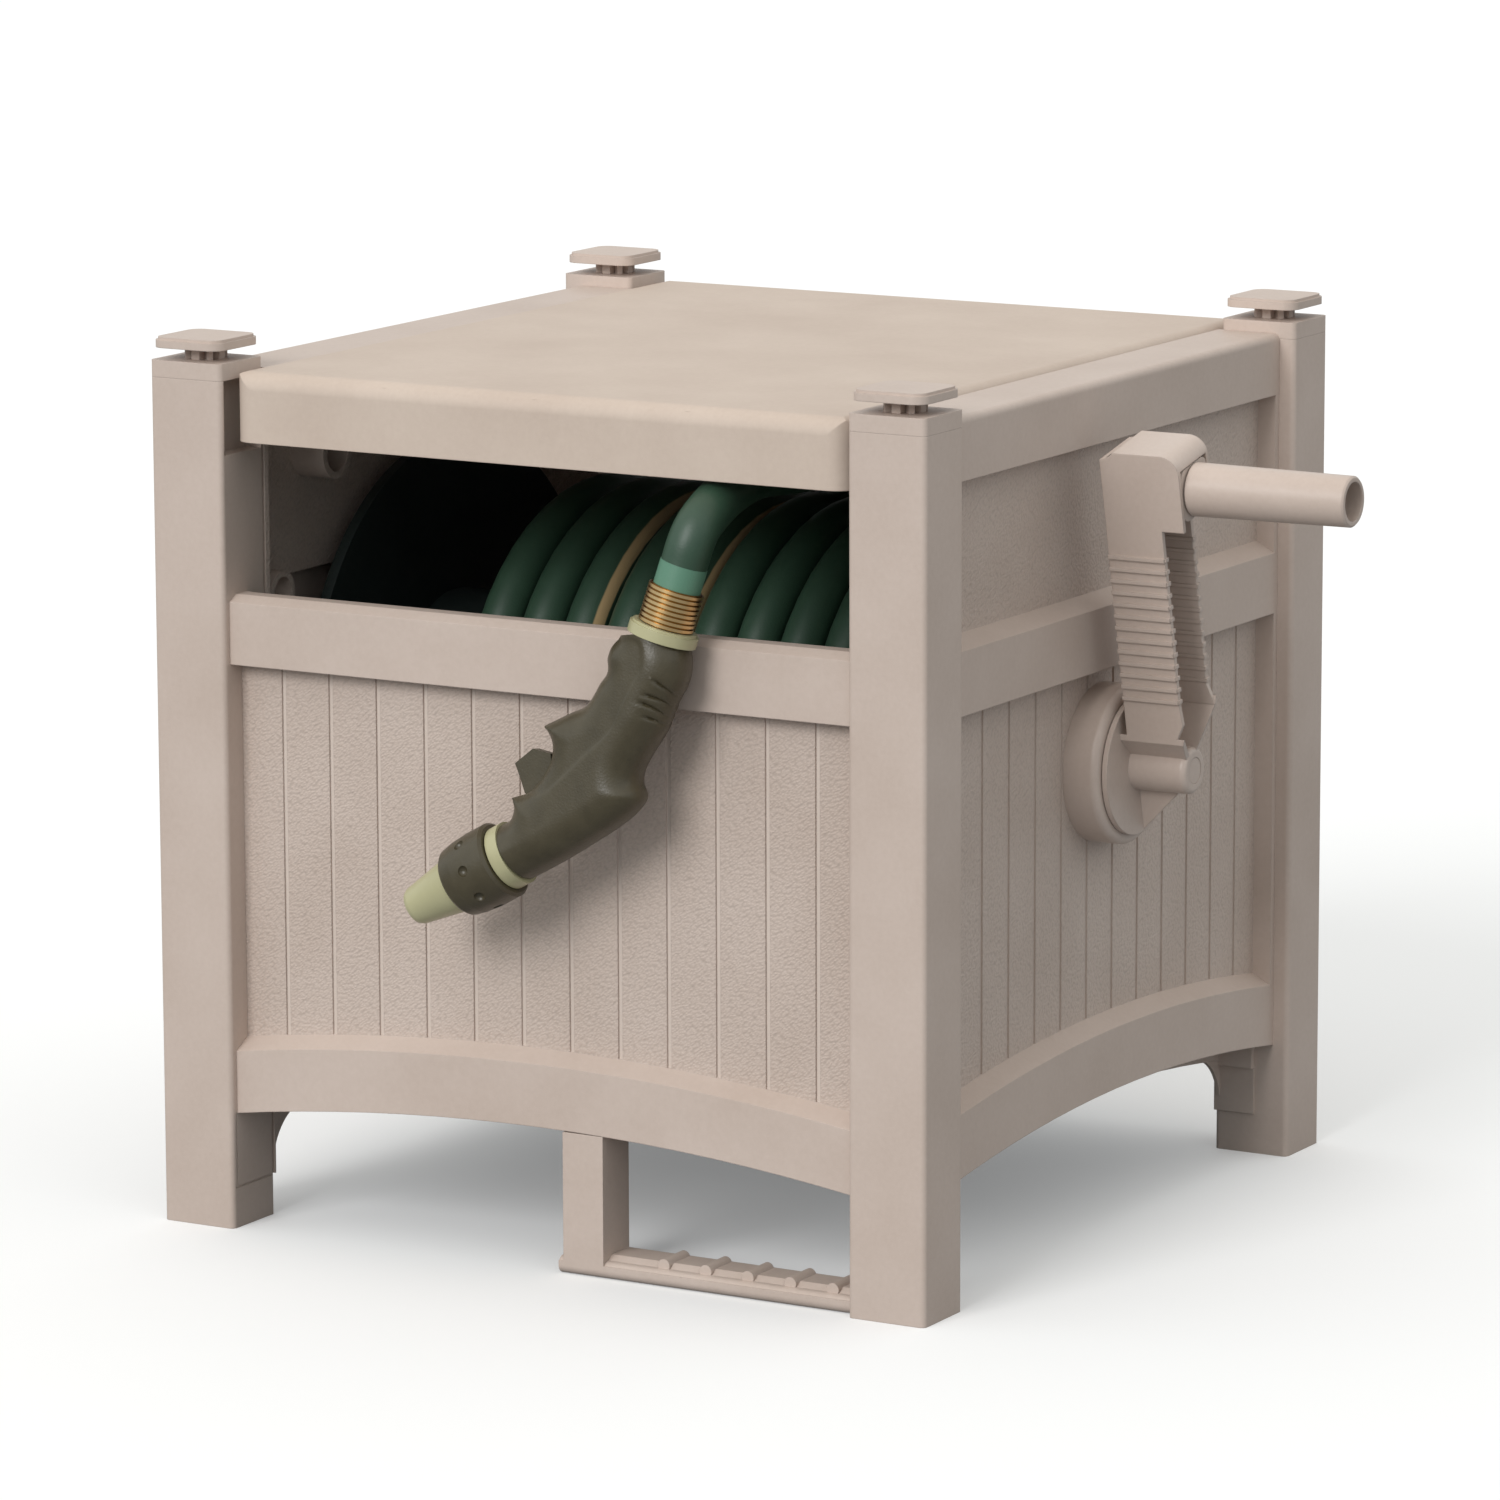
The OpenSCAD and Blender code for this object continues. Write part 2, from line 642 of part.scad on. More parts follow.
module foot_section(inset) {
    lip = 4.5;
    if (inset == 0) {
        translate([-front_face + lip, lip]) circle(lip);
        translate([-front_face + lip, 0]) square([foot_d - lip, foot_lip_h]);
        translate([-front_face, lip]) square([lip + 1, foot_lip_h - lip - 2]);
        polygon([[-front_face + 2, foot_lip_h - 2], [-front_face + 9, foot_step_h], [-front_face + foot_d,
            foot_step_h], [-front_face + foot_d, 1]]);
    } else {
        polygon([[-front_face + inset + 2, -1], [-front_face + inset + 2, foot_lip_h - inset],
            [-front_face + 11, foot_step_h - inset], [-front_face + foot_d - inset, foot_step_h - inset],
            [-front_face + foot_d - inset, -1]]);
    }
}

module foothold() {
    foot_right = post_x;
    back_y = -front_face + foot_d;
    leg_top = arch_z + arch_rise * (1 - pow((foot_left + foot_leg_w) / post_x, 2)) - slip;
    color(resin) at_box() difference() {
        union() {
            translate([foot_left - 3, 0, 0]) rotate([90, 0, 90]) linear_extrude(foot_right - foot_left + 3)
                foot_section(0);
            // Hollow leg with its front, its two sides and its back tab
            box(foot_left, foot_left + foot_leg_w, -front_face, -front_face + 3, 5, leg_top);
            box(foot_left, foot_left + 3, -front_face, back_y, 5, leg_top);
            box(foot_left + foot_leg_w - 3, foot_left + foot_leg_w, -front_face, back_y, 5, leg_top);
            box(foot_left, foot_left + foot_leg_w, -front_flange_y + play, back_y, 5,
                foot_screw_z + 10);
            for (i = [0:ridge_n - 1]) translate([foot_right - 14 - i * ridge_pitch, 0, foot_step_h - 1])
                rod_y(ridge_r, -front_face + 4.5, back_y - 0.5);
            box(foot_right - 4, foot_right + post_wall + 2, -front_face + 6, -front_face + 18, foot_tab_z,
                foot_tab_z + foot_tab_h);
        }
        translate([foot_left, 0, 0]) rotate([90, 0, 90]) linear_extrude(foot_right - foot_left - 3)
            foot_section(3);
        for (x = foot_screw_x) translate([x, 0, foot_screw_z]) rod_y(2.1, -front_face, back_y + 1);
    }
}

module foothold_screws() {
    back_y = -front_face + foot_d;
    color(steel) at_box() for (x = foot_screw_x) translate([x, 0, foot_screw_z]) {
        rod_y(2, -front_face + rail_wall + 2, back_y + 1);
        rod_y(4, back_y + 0.1, back_y + 2.6);
    }
}

// Reel and its water way, drawn along the X axis

module inlet_screw_holes(x0, x1) {
    for (a = [45:90:315]) rotate([a, 0, 0]) translate([0, 0, inlet_screw_r]) rod_x(1.8 + fit, x0, x1);
}
module collar_screw_rods(r, x0, x1) {
    for (a = [45:90:315]) rotate([a, 0, 0]) translate([0, 0, collar_screw_r]) rod_x(r, x0, x1);
}

module reel_bearing() {
    color(dark_resin) at_reel() to_left() difference() {
        turned_x([[journal_r + fit, side_inside - bearing_t], [inlet_flange_r, side_inside - bearing_t],
            [inlet_flange_r, side_inside], [bearing_r, side_inside], [bearing_r, side_sheet],
            [journal_r + fit, side_sheet]]);
        inlet_screw_holes(side_inside - bearing_t - 1, side_sheet + 1);
    }
}

module inlet_housing() {
    nose_tip = side_sheet - inlet_nose_len;
    groove_r = nose_r - 1.8;
    g1 = side_sheet - o_ring_at[0];
    g2 = side_sheet - o_ring_at[1];
    color(resin) at_reel() to_left() difference() {
        turned_x([[inlet_bore_r, nose_tip], [nose_r, nose_tip], [nose_r, g2 - 0.95], [groove_r, g2 - 0.95],
            [groove_r, g2 + 0.95], [nose_r, g2 + 0.95], [nose_r, g1 - 0.95], [groove_r, g1 - 0.95],
            [groove_r, g1 + 0.95], [nose_r, g1 + 0.95], [nose_r, side_sheet], [inlet_flange_r, side_sheet],
            [inlet_flange_r, inlet_x], [inlet_dome_r, inlet_x], [inlet_dome_r - 2, inlet_x + 4.5],
            [inlet_dome_r - 8, inlet_dome_x],
            [inlet_r, inlet_dome_x], [inlet_r, inlet_tip], [inlet_bore_r, inlet_tip]]);
        inlet_screw_holes(side_sheet - 1, inlet_x + 1);
    }
}

module inlet_screws() {
    color(steel) at_reel() to_left() for (a = [45:90:315]) rotate([a, 0, 0]) translate([0, 0, inlet_screw_r]) {
        rod_x(1.8, side_inside - bearing_t - 1.5, inlet_x + 1);
        rod_x(3.2, inlet_x + 0.1, inlet_x + 2.4);
    }
}

module inlet_o_rings() {
    color(black) at_reel() to_left() for (at = o_ring_at)
        rotate([0, 90, 0]) rotate_extrude() translate([nose_r - 0.9, side_sheet - at]) circle(0.88);
}

module flange_web(outer) {
    turned_x([[drum_r - drum_wall - 3.9, flange_x - 10], [drum_r - drum_wall - 0.1, flange_x - 10],
        [drum_r - drum_wall - 0.1, flange_x], [flange_r, flange_x], [flange_r, flange_x + rim_lip],
        [flange_r - 3, flange_x + rim_lip], [flange_r - 3, flange_x + flange_t],
        [drum_r - drum_wall - 3.9, flange_x + flange_t]]);
    turned_x([[0, flange_x], [drum_r - drum_wall - 3, flange_x], [drum_r - drum_wall - 3, flange_x + flange_t],
        [hub_r, flange_x + flange_t], [hub_r, outer], [0, outer]]);
    for (i = [0:flange_rib_n - 1]) rotate([i * 360 / flange_rib_n, 0, 0])
        box(flange_x + flange_t - 0.5, flange_x + rim_lip, -1.2, 1.2, hub_r - 1, flange_r - 2);
}

module reel_flange_left() {
    hub_end = side_inside - bearing_t - play;
    color(dark_resin) at_reel() to_left() difference() {
        union() {
            flange_web(hub_end);
            rod_x(journal_r, hub_end - 1, side_sheet - 0.5);
        }
        rod_x(pipe_bell_r + fit, flange_x - 11, side_sheet + 1);
    }
}

module reel_flange_right() {
    hub_end = side_inside - play;
    color(dark_resin) at_reel() difference() {
        union() {
            flange_web(hub_end);
            rod_x(journal_r, hub_end - 1, journal_end);
        }
        rotate([crank_lean, 0, 0]) box(socket_x, journal_end + 1, -socket_w / 2, socket_w / 2, -socket_w / 2,
            socket_w / 2);
        rod_x(pin_r + fit, flange_x - 1, socket_x + 1);
    }
}

module reel_drum() {
    color(dark_resin) at_reel() difference() {
        rod_x(drum_r, -flange_x + 0.1, flange_x - 0.1);
        rod_x(drum_r - drum_wall, -flange_x - 1, flange_x + 1);
        translate([-elbow_x, 0, 0]) cylinder(r = nose_r - 1 + 0.1, h = drum_r + 1);
    }
}

module water_pipe() {
    pipe_r = nose_r - 1;
    color(black) at_reel() to_left() difference() {
        union() {
            rod_x(pipe_bell_r, flange_x, side_sheet - 1);
            rod_x(pipe_r, elbow_x, flange_x + 1);
            translate([elbow_x, 0, 0]) sphere(pipe_r);
            translate([elbow_x, 0, 0]) cylinder(r = pipe_r, h = drum_r);
        }
        rod_x(nose_r + fit, flange_x + 3, side_sheet);
        rod_x(inlet_bore_r, elbow_x, flange_x + 4);
        translate([elbow_x, 0, 0]) cylinder(r = inlet_bore_r, h = drum_r + 1);
        translate([elbow_x, 0, 0]) sphere(inlet_bore_r);
    }
}

module hose_core() {
    color(hose_green) at_reel() difference() {
        rod_x(core_r, wound_x - hose_d / 2, flange_x - 0.5);
        rod_x(drum_r + play, -flange_x, flange_x);
    }
}

// Outer layer of hose: a helix in steps of fifteen degrees, with a straight run at each end
wound_room = (flange_x - 2 - hose_d / 2 - wound_x) / wound_pitch;
wound_steps = floor(min(wound_turns, wound_room) * 24);
function wound_point(i) = let (a = 270 + 15 * i)
    [wound_x + wound_pitch * i / 24, -wound_r * cos(a), wound_r * sin(a)];
wound_last = wound_point(wound_steps) - wound_point(wound_steps - 1);
wound_points = concat([[wound_x, hose_d, -wound_r]], [for (i = [0:wound_steps]) wound_point(i)],
    [wound_point(wound_steps) + hose_d * wound_last / norm(wound_last)]);
wound_gap = min([for (i = [1:len(wound_points) - 1], j = [i + 12:min(i + 30, len(wound_points) - 1)])
    norm(wound_points[j] - wound_points[i])]) - hose_d;
echo(least_gap_between_turns_mm = wound_gap);

module wound_hose() { color(hose_green) at_reel() tube(wound_points, hose_d / 2, 6); }

// Crank: collar on the cabinet, channel arm, folding grip

module crank_collar() {
    r = 4;
    color(resin) at_reel() difference() {
        union() {
            turned_x([[journal_r + fit, side_sheet], [journal_r + 5, side_sheet], [journal_r + 5, collar_x - 3],
                [collar_r - 3, collar_x - 3], [collar_r - 3, side_sheet], [collar_r, side_sheet],
                [collar_r, collar_x - r], [collar_r - r, collar_x - r], [collar_r - r, collar_x],
                [journal_r + fit, collar_x]]);
            rotate([0, 90, 0]) rotate_extrude() translate([collar_r - r, collar_x - r]) circle(r);
            collar_screw_rods(4.5, side_sheet, collar_x - 2);
        }
        collar_screw_rods(2 + fit, side_sheet - 1, collar_x - 5);
    }
}

module collar_screws() {
    color(steel) at_reel() {
        collar_screw_rods(2, side_inside - 1, collar_x - 6);
        collar_screw_rods(4, side_inside - 2.6, side_inside - 0.1);
    }
}

// Side outline of the arm at one cheek, in distance along the axis and height
module cheek(y0, bottom, flare) {
    translate([0, y0 + arm_wall, 0]) rotate([90, 0, 0]) linear_extrude(arm_wall) {
        polygon([[web_x, leg_low + 21], [arm_x, leg_low + 21], [arm_x, head_low], [head_x, head_low],
            [head_x, head_high - head_r], [head_x - head_r, head_high], [web_x + 7, head_high],
            [web_x, head_high - 3]]);
        translate([head_x - head_r, head_high - head_r]) circle(head_r);
        polygon([[web_x, bottom], [web_x, leg_low + 22], [arm_x, leg_low + 22], [arm_x + flare, leg_low + 11],
            [arm_x + flare - (leg_low + 11 - bottom) / 2, bottom]]);
    }
}

module crank_arm() {
    inner = arm_half_w - arm_wall;
    color(resin) at_crank() difference() {
        union() {
            // Disc, boss and the square shank in the reel
            rod_x(crank_disc_r, disc_x, disc_x + disc_t);
            rod_x(boss_r, disc_x, boss_x - 3);
            rod_x(boss_r - 3, disc_x, boss_x);
            rotate([0, 90, 0]) rotate_extrude() translate([boss_r - 3, boss_x - 3]) circle(3);
            box(socket_x + 1, disc_x + 1, -socket_w / 2 + slip, socket_w / 2 - slip, -socket_w / 2 + slip,
                socket_w / 2 - slip);
            // Gusset under the boss
            translate([0, 1.75, 0]) rotate([90, 0, 0]) linear_extrude(3.5) polygon([[disc_x + 1, 0],
                [disc_x + 26, 0], [disc_x + 26, -boss_r], [disc_x + disc_t, -crank_disc_r + 1], [disc_x + 1,
                -crank_disc_r + 1]]);
            // Channel: back web and two cheeks
            box(web_x, web_x + arm_wall, -arm_half_w, arm_half_w, leg_low + 2, head_high - 3);
            cheek(-arm_half_w, leg_low, 1);
            cheek(inner, floor_high - 1, 4);
            // Sloped floors that close the channel down on to the boss
            intersection() {
                rotate([90, 0, 90]) translate([0, 0, disc_x]) linear_extrude(arm_x + 5 - disc_x) {
                    polygon([[-arm_half_w, leg_low], [-arm_half_w, leg_low + 3.5], [-4, 10], [-4, 5]]);
                    polygon([[arm_half_w, floor_high - 1], [arm_half_w, floor_high + 3.5], [4, 10], [4, 5]]);
                }
                translate([0, arm_half_w + 1, 0]) rotate([90, 0, 0]) linear_extrude(2 * arm_half_w + 2) polygon([
                    [disc_x, 0], [disc_x, 50], [arm_x + 4, 50], [arm_x + 4, floor_high - 1], [boss_x - 2, 5],
                    [boss_x - 2, 0]]);
            }
            // Roof of the head
            box(web_x, head_x - head_r, -arm_half_w, arm_half_w, head_high - arm_wall, head_high);
            difference() {
                translate([head_x - head_r, arm_half_w, head_high - head_r]) rotate([90, 0, 0])
                    cylinder(r = head_r, h = 2 * arm_half_w);
                translate([head_x - head_r, inner, head_high - head_r]) rotate([90, 0, 0])
                    cylinder(r = head_r - arm_wall, h = 2 * inner);
                box(head_x - 2 * head_r - 1, head_x + 1, -inner, inner, head_high - 2 * head_r - 1,
                    crank_r + grip_r + 0.6);
                box(head_x - 2 * head_r - 1, head_x - head_r, -inner, inner, head_high - 2 * head_r,
                    head_high - arm_wall);
            }
            for (i = [0:arm_rib_n - 1], side = [-1, 1]) translate([0, 0, rib_low + i * arm_rib_pitch]) {
                y0 = side * (inner - rib_in);
                y1 = side * (arm_half_w + rib_out);
                box(web_x, arm_x, min(y0, y1), max(y0, y1), 0, 2.2);
                box(arm_x - 3, arm_x + 0.8, min(y0, y1 - side), max(y0, y1 - side), 0, 2.2);
            }
        }
        // Curved notch on the cabinet side of the head
        translate([web_x, arm_half_w + 1, head_high + 5]) rotate([90, 0, 0])
            cylinder(r = 9, h = 2 * arm_half_w + 2);
        rod_x(pin_r + fit, socket_x, boss_x + 1);
        rod_x(boss_cap_r, boss_x - 7.5, boss_x + 1);
        translate([knuckle_x, 0, crank_r]) rod_y(pin_r + fit, -inner - 1.8, inner + 1.8);
    }
}

module crank_screw() {
    color(steel) at_crank() {
        rod_x(pin_r, flange_x + 2, boss_x - 7);
        rod_x(6.5, boss_x - 7.4, boss_x - 4.4);
    }
}

// Plug that closes the end of the boss over the screw
module crank_plug() { color(resin) at_crank() rod_x(boss_cap_r - fit, boss_x - 4, boss_x - 0.2); }

module knuckle_pin() {
    reach = arm_half_w - arm_wall + 1.6;
    color(steel) at_crank() translate([knuckle_x, 0, crank_r]) rod_y(pin_r, -reach, reach);
}

module grip_knuckle() {
    half = arm_half_w - arm_wall - play;
    front = head_x - 0.3;
    color(resin) at_crank() translate([0, 0, crank_r]) difference() {
        union() {
            translate([knuckle_x, 0, 0]) rod_y(grip_r, -half, half);
            box(knuckle_x, front - 3, -half, half, -grip_r + 2, grip_r - 2);
            // Square front plate with round corners
            translate([front - 4, 0, 0]) rotate([90, 0, 90]) linear_extrude(4)
                round_rect(2 * half, 2 * grip_r, 5);
            rod_x(spindle_r, front - 1, spindle_end);
        }
        translate([knuckle_x, 0, 0]) rod_y(pin_r + fit, -half - 1, half + 1);
        rod_x(2 + fit, spindle_end - 16, spindle_end + 1);
    }
}

module grip_retainer() {
    color(steel) at_crank() translate([0, 0, crank_r]) {
        rod_x(2, spindle_end - 15, spindle_end + 1);
        rod_x(spindle_r + 1.6, spindle_end + 0.1, spindle_end + 2.6);
    }
}

module crank_grip() {
    stop = spindle_end - 0.5;
    color(resin) at_crank() translate([0, 0, crank_r])
        turned_x([[spindle_r + fit, grip_start], [grip_r, grip_start], [grip_tip_r, grip_end - 1],
            [grip_tip_r - 1, grip_end], [grip_tip_r - grip_wall, grip_end], [grip_tip_r - grip_wall, stop],
            [spindle_r + fit, stop]]);
}

// Free hose, its coupling and the spray nozzle

module free_hose() { color(hose_green) at_box() tube(hose_route, hose_d / 2, 12); }

module hose_sleeve() {
    color([0.35, 0.6, 0.48]) at_handle() translate([0, 0, coupling_top]) cylinder(r = hose_d / 2 + 0.25,
        h = sleeve_len);
}

module hose_coupling() {
    low = 7;
    pitch = (coupling_top - low) / 8;
    color(brass) at_handle() difference() {
        union() {
            translate([0, 0, low]) cylinder(r = coupling_r - 0.9, h = coupling_top - low);
            for (i = [0:7]) translate([0, 0, low + pitch * (i + 0.2)]) cylinder(r = coupling_r, h = pitch * 0.6);
            translate([0, 0, -10]) cylinder(r = thread_r, h = low + 11);
        }
        translate([0, 0, -11]) cylinder(r = 8, h = coupling_top + 8);
    }
}

module coupling_washer() {
    color(black) at_handle() translate([0, 0, -12.6]) difference() {
        cylinder(r = thread_r, h = 2.5);
        translate([0, 0, -1]) cylinder(r = 7, h = 5);
    }
}

module nozzle_collar() {
    color(pale_green) at_handle() difference() {
        union() {
            cylinder(r = nozzle_collar_r, h = 5.5);
            translate([0, 0, 5.5]) cylinder(r = nozzle_collar_r - 1.2, h = 1.2);
            translate([0, 0, -14]) cylinder(r = thread_r + 2, h = 15);
        }
        translate([0, 0, -12.7]) cylinder(r = thread_r + fit, h = 20);
        translate([0, 0, -15]) cylinder(r = 7, h = 5);
    }
}

// Oval rings through the stations of the grip
module nozzle_loft(sides) {
    n = len(grip_stations);
    rings = [for (s = grip_stations, k = [0:sides - 1])
        let (mid = (s[0] + s[1]) / 2, reach = (s[1] - s[0]) / 2, c = cos(360 * k / sides))
        [mid[0] + reach[0] * c, s[2] * sin(360 * k / sides), mid[1] + reach[1] * c]];
    walls = [for (i = [0:n - 2], k = [0:sides - 1], half = [0, 1])
        let (a = i * sides + k, b = i * sides + (k + 1) % sides)
        half == 0 ? [a, b, a + sides] : [b, b + sides, a + sides]];
    caps = [[for (k = [0:sides - 1]) sides - 1 - k], [for (k = [0:sides - 1]) (n - 1) * sides + k]];
    polyhedron(rings, concat(walls, caps));
}

// A flat shape in the nozzle's plane, of a given half thickness
module in_nozzle_plane(half) { rotate([90, 0, 0]) translate([0, 0, -half]) linear_extrude(2 * half) children(); }

trigger_slot = trigger_half_t + 0.5;

module nozzle_body() {
    color(grey_rubber) {
        difference() {
            union() {
                at_nozzle() nozzle_loft(24);
                at_nozzle() in_nozzle_plane(8) polygon([[-36, -36], [-43, -43], [-54, -50], [-66.4, -55.2],
                    [-61.6, -62.1], [-60.4, -67.6], [-50, -72], [-30, -60]]);
                at_nozzle() in_nozzle_plane(9) polygon([[-66, -84], [-74.6, -89.8], [-82.4, -94.2],
                    [-80.9, -97.7], [-83.5, -102], [-76, -104], [-60, -96]]);
                at_barrel() translate([0, 0, -6]) cylinder(r = spindle_nozzle_r, h = 36);
            }
            at_nozzle() in_nozzle_plane(trigger_slot) polygon([[-54, -60], [-54, -84], [-58, -101],
                [-70, -105], [-80, -97], [-95, -85], [-80, -55]]);
            at_nozzle() translate(trigger_at) rod_y(2 + fit, -9.2, 9.2);
            at_handle() translate([0, 0, -14.2]) cylinder(r = thread_r + 2 + fit, h = 20);
            at_handle() cylinder(r = 30, h = 20);
        }
    }
}

module trigger_pin() { color(steel) at_nozzle() translate(trigger_at) rod_y(2, -9, 9); }

module nozzle_trigger() {
    color(grey_rubber) at_nozzle() difference() {
        union() {
            in_nozzle_plane(trigger_half_t) polygon([[-62, -69], [-72.6, -67.4], [-82.5, -75.7],
                [-79.5, -81.6], [-75.7, -89.9], [-72, -94], [-64, -94], [-60, -82]]);
            translate(trigger_at) rod_y(5, -trigger_half_t, trigger_half_t);
        }
        translate(trigger_at) rod_y(2 + fit, -10, 10);
    }
}

module barrel_ring() {
    color(pale_green) at_barrel() translate([0, 0, 0.3]) difference() {
        cylinder(r = barrel_ring_r, h = 7.2);
        translate([0, 0, -1]) cylinder(r = spindle_nozzle_r + fit, h = 10);
    }
}

module twist_collar() {
    bore = spindle_nozzle_r + fit;
    color(grey_rubber) at_barrel() difference() {
        rotate_extrude() polygon([[bore, 8], [twist_r - 1.5, 8], [twist_r, 9.5], [twist_r, 21],
            [twist_r - 0.7, 30], [twist_r - 2, 36.5], [twist_r - 3, 37.7], [bore, 37.7]]);
        for (a = [0:45:315]) rotate(a) translate([twist_r + 0.6, 0, 22]) sphere(3, $fn = 24);
    }
}

module spray_tip() {
    r = spindle_nozzle_r;
    color(pale_green) at_barrel() rotate_extrude() polygon([[6, 30.5], [r, 30.5], [r, 38],
        [14.5, 38], [14.5, 41], [tip_r + 1, 65.5], [tip_r, 67.5], [tip_r - 1.6, 67.5], [tip_r - 2.6, 63], [6, 55]]);
}

left_panel();
right_panel();
front_panel();
back_panel();
post(true, true);  // post_front_left
post(false, true);  // post_front_right
post(true, false);  // post_rear_left
post(false, false);  // post_rear_right
post_cap(true, true);  // cap_front_left
post_cap(false, true);  // cap_front_right
post_cap(true, false);  // cap_rear_left
post_cap(false, false);  // cap_rear_right
corner_pin(true, true);  // corner_pin_front_left
corner_pin(false, true);  // corner_pin_front_right
corner_pin(true, false);  // corner_pin_rear_left
corner_pin(false, false);  // corner_pin_rear_right
foothold();
foothold_screws();
lid();
reel_bearing();
inlet_housing();
inlet_screws();
inlet_o_rings();
crank_collar();
collar_screws();
reel_flange_left();
reel_flange_right();
reel_drum();
water_pipe();
hose_core();
wound_hose();
crank_arm();
crank_screw();
crank_plug();
knuckle_pin();
grip_knuckle();
grip_retainer();
crank_grip();
free_hose();
hose_sleeve();
hose_coupling();
coupling_washer();
nozzle_collar();
nozzle_body();
trigger_pin();
nozzle_trigger();
barrel_ring();
twist_collar();
spray_tip();
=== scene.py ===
import math

import bmesh
import bpy
import numpy as np
from mathutils import Matrix, Vector
from mathutils.geometry import delaunay_2d_cdt


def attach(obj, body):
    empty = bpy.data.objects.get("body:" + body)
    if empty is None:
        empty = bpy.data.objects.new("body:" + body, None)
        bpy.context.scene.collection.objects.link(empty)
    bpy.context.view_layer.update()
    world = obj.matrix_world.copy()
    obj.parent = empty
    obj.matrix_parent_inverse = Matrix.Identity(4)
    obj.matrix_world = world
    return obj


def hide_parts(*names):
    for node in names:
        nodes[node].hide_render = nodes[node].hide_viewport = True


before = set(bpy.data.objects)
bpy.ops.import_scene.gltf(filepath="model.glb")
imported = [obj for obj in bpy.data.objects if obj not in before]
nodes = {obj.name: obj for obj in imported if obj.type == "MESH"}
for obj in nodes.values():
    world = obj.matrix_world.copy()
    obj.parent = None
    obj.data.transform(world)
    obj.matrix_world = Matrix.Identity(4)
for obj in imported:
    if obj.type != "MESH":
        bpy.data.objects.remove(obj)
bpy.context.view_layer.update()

# The studio: a long lens a little above the box and to its front right, one soft sun low in
# front of the box, a sky that is brighter overhead, and a plain white floor with a soft shadow.
SENSOR_MM = 36
LENS_MM = 181.3
CAMERA_AT = (1.919, -3.450, 0.983)
CAMERA_TURN = math.radians(29.89)
CAMERA_DOWN = math.radians(10.62)
CAMERA_ROLL = math.radians(-0.18)
VIEW_END = 60
SUN_FROM = (-0.08, -0.85, 0.46)
SUN_STRENGTH = 1.62
SUN_SPREAD = math.radians(28)
# The sky's strength at the horizon and overhead, and the height at which that one is reached
SKY_LOW, SKY_HIGH = 0.30, 0.90
SKY_LOW_END = 0.28
FLOOR_HALF = 9
FLOOR_LIFT = 0.18

camera_data = bpy.data.cameras.new("camera")
camera_data.sensor_width = SENSOR_MM
camera_data.lens = LENS_MM
camera_data.clip_end = VIEW_END
camera = bpy.data.objects.new("camera", camera_data)
camera.matrix_world = (
    Matrix.Translation(CAMERA_AT)
    @ Matrix.Rotation(CAMERA_TURN, 4, "Z")
    @ Matrix.Rotation(math.radians(90) - CAMERA_DOWN, 4, "X")
    @ Matrix.Rotation(CAMERA_ROLL, 4, "Z")
)
bpy.context.scene.collection.objects.link(camera)
bpy.context.scene.camera = camera
bpy.context.scene.view_settings.view_transform = "Standard"


def linear(hex_colour):
    """An sRGB hex colour as the linear colour that a shader takes."""
    parts = [int(hex_colour[i : i + 2], 16) / 255 for i in (1, 3, 5)]
    return [c / 12.92 if c <= 0.04045 else ((c + 0.055) / 1.055) ** 2.4 for c in parts] + [1.0]


def add(tree, kind, inputs=None, **settings):
    """Adds a node to a tree, with its settings and its inputs, and returns it. An input is a plain
    value, a node's output, or a node, which stands for the first of its outputs in use."""
    node = tree.nodes.new("ShaderNode" + kind)
    for name, value in settings.items():
        setattr(node, name, value)
    for key, value in (inputs or {}).items():
        if isinstance(value, bpy.types.Node):
            value = next(output for output in value.outputs if output.enabled)
        if isinstance(value, bpy.types.NodeSocket):
            tree.links.new(value, node.inputs[key])
        else:
            node.inputs[key].default_value = value
    return node


world = bpy.data.worlds.new("studio")
bpy.context.scene.world = world
world.use_nodes = True
sky = world.node_tree
sky.nodes.clear()
looking = add(sky, "LightPath").outputs["Is Camera Ray"]
height = add(sky, "SeparateXYZ", {0: add(sky, "TexCoord").outputs["Generated"]}).outputs["Z"]
glow = add(sky, "MapRange", {"Value": height, "From Max": SKY_LOW_END,
                             "To Min": SKY_LOW, "To Max": SKY_HIGH})
warmth = add(sky, "MapRange", {"Value": height, "From Min": 0.2, "From Max": 0.9})
cast = add(sky, "Mix", {"Factor": warmth, "A": linear("#F2FBFF"), "B": linear("#FFFDF8")},
           data_type="RGBA")
lit = add(sky, "Background", {"Color": cast, "Strength": glow})
plain = add(sky, "Background", {"Color": (1, 1, 1, 1), "Strength": 1.0})
both = add(sky, "MixShader", {0: looking, 1: lit, 2: plain})
add(sky, "OutputWorld", {0: both})

sun_data = bpy.data.lights.new("window_sun", "SUN")
sun_data.energy = SUN_STRENGTH
sun_data.angle = SUN_SPREAD
sun = bpy.data.objects.new("window_sun", sun_data)
sun.rotation_mode = "QUATERNION"
sun.rotation_quaternion = Vector(SUN_FROM).to_track_quat("Z", "Y")
bpy.context.scene.collection.objects.link(sun)

floor_mesh = bpy.data.meshes.new("floor")
floor_corners = ((-1, -1), (1, -1), (1, 1), (-1, 1))
floor_mesh.from_pydata([(x * FLOOR_HALF, y * FLOOR_HALF, 0) for x, y in floor_corners], [],
                       [(0, 1, 2, 3)])
floor = bpy.data.objects.new("floor", floor_mesh)
bpy.context.scene.collection.objects.link(floor)


def new_material(name):
    """A new material and its node tree, which is still empty."""
    made = bpy.data.materials.new(name)
    made.use_nodes = True
    made.node_tree.nodes.clear()
    return made, made.node_tree


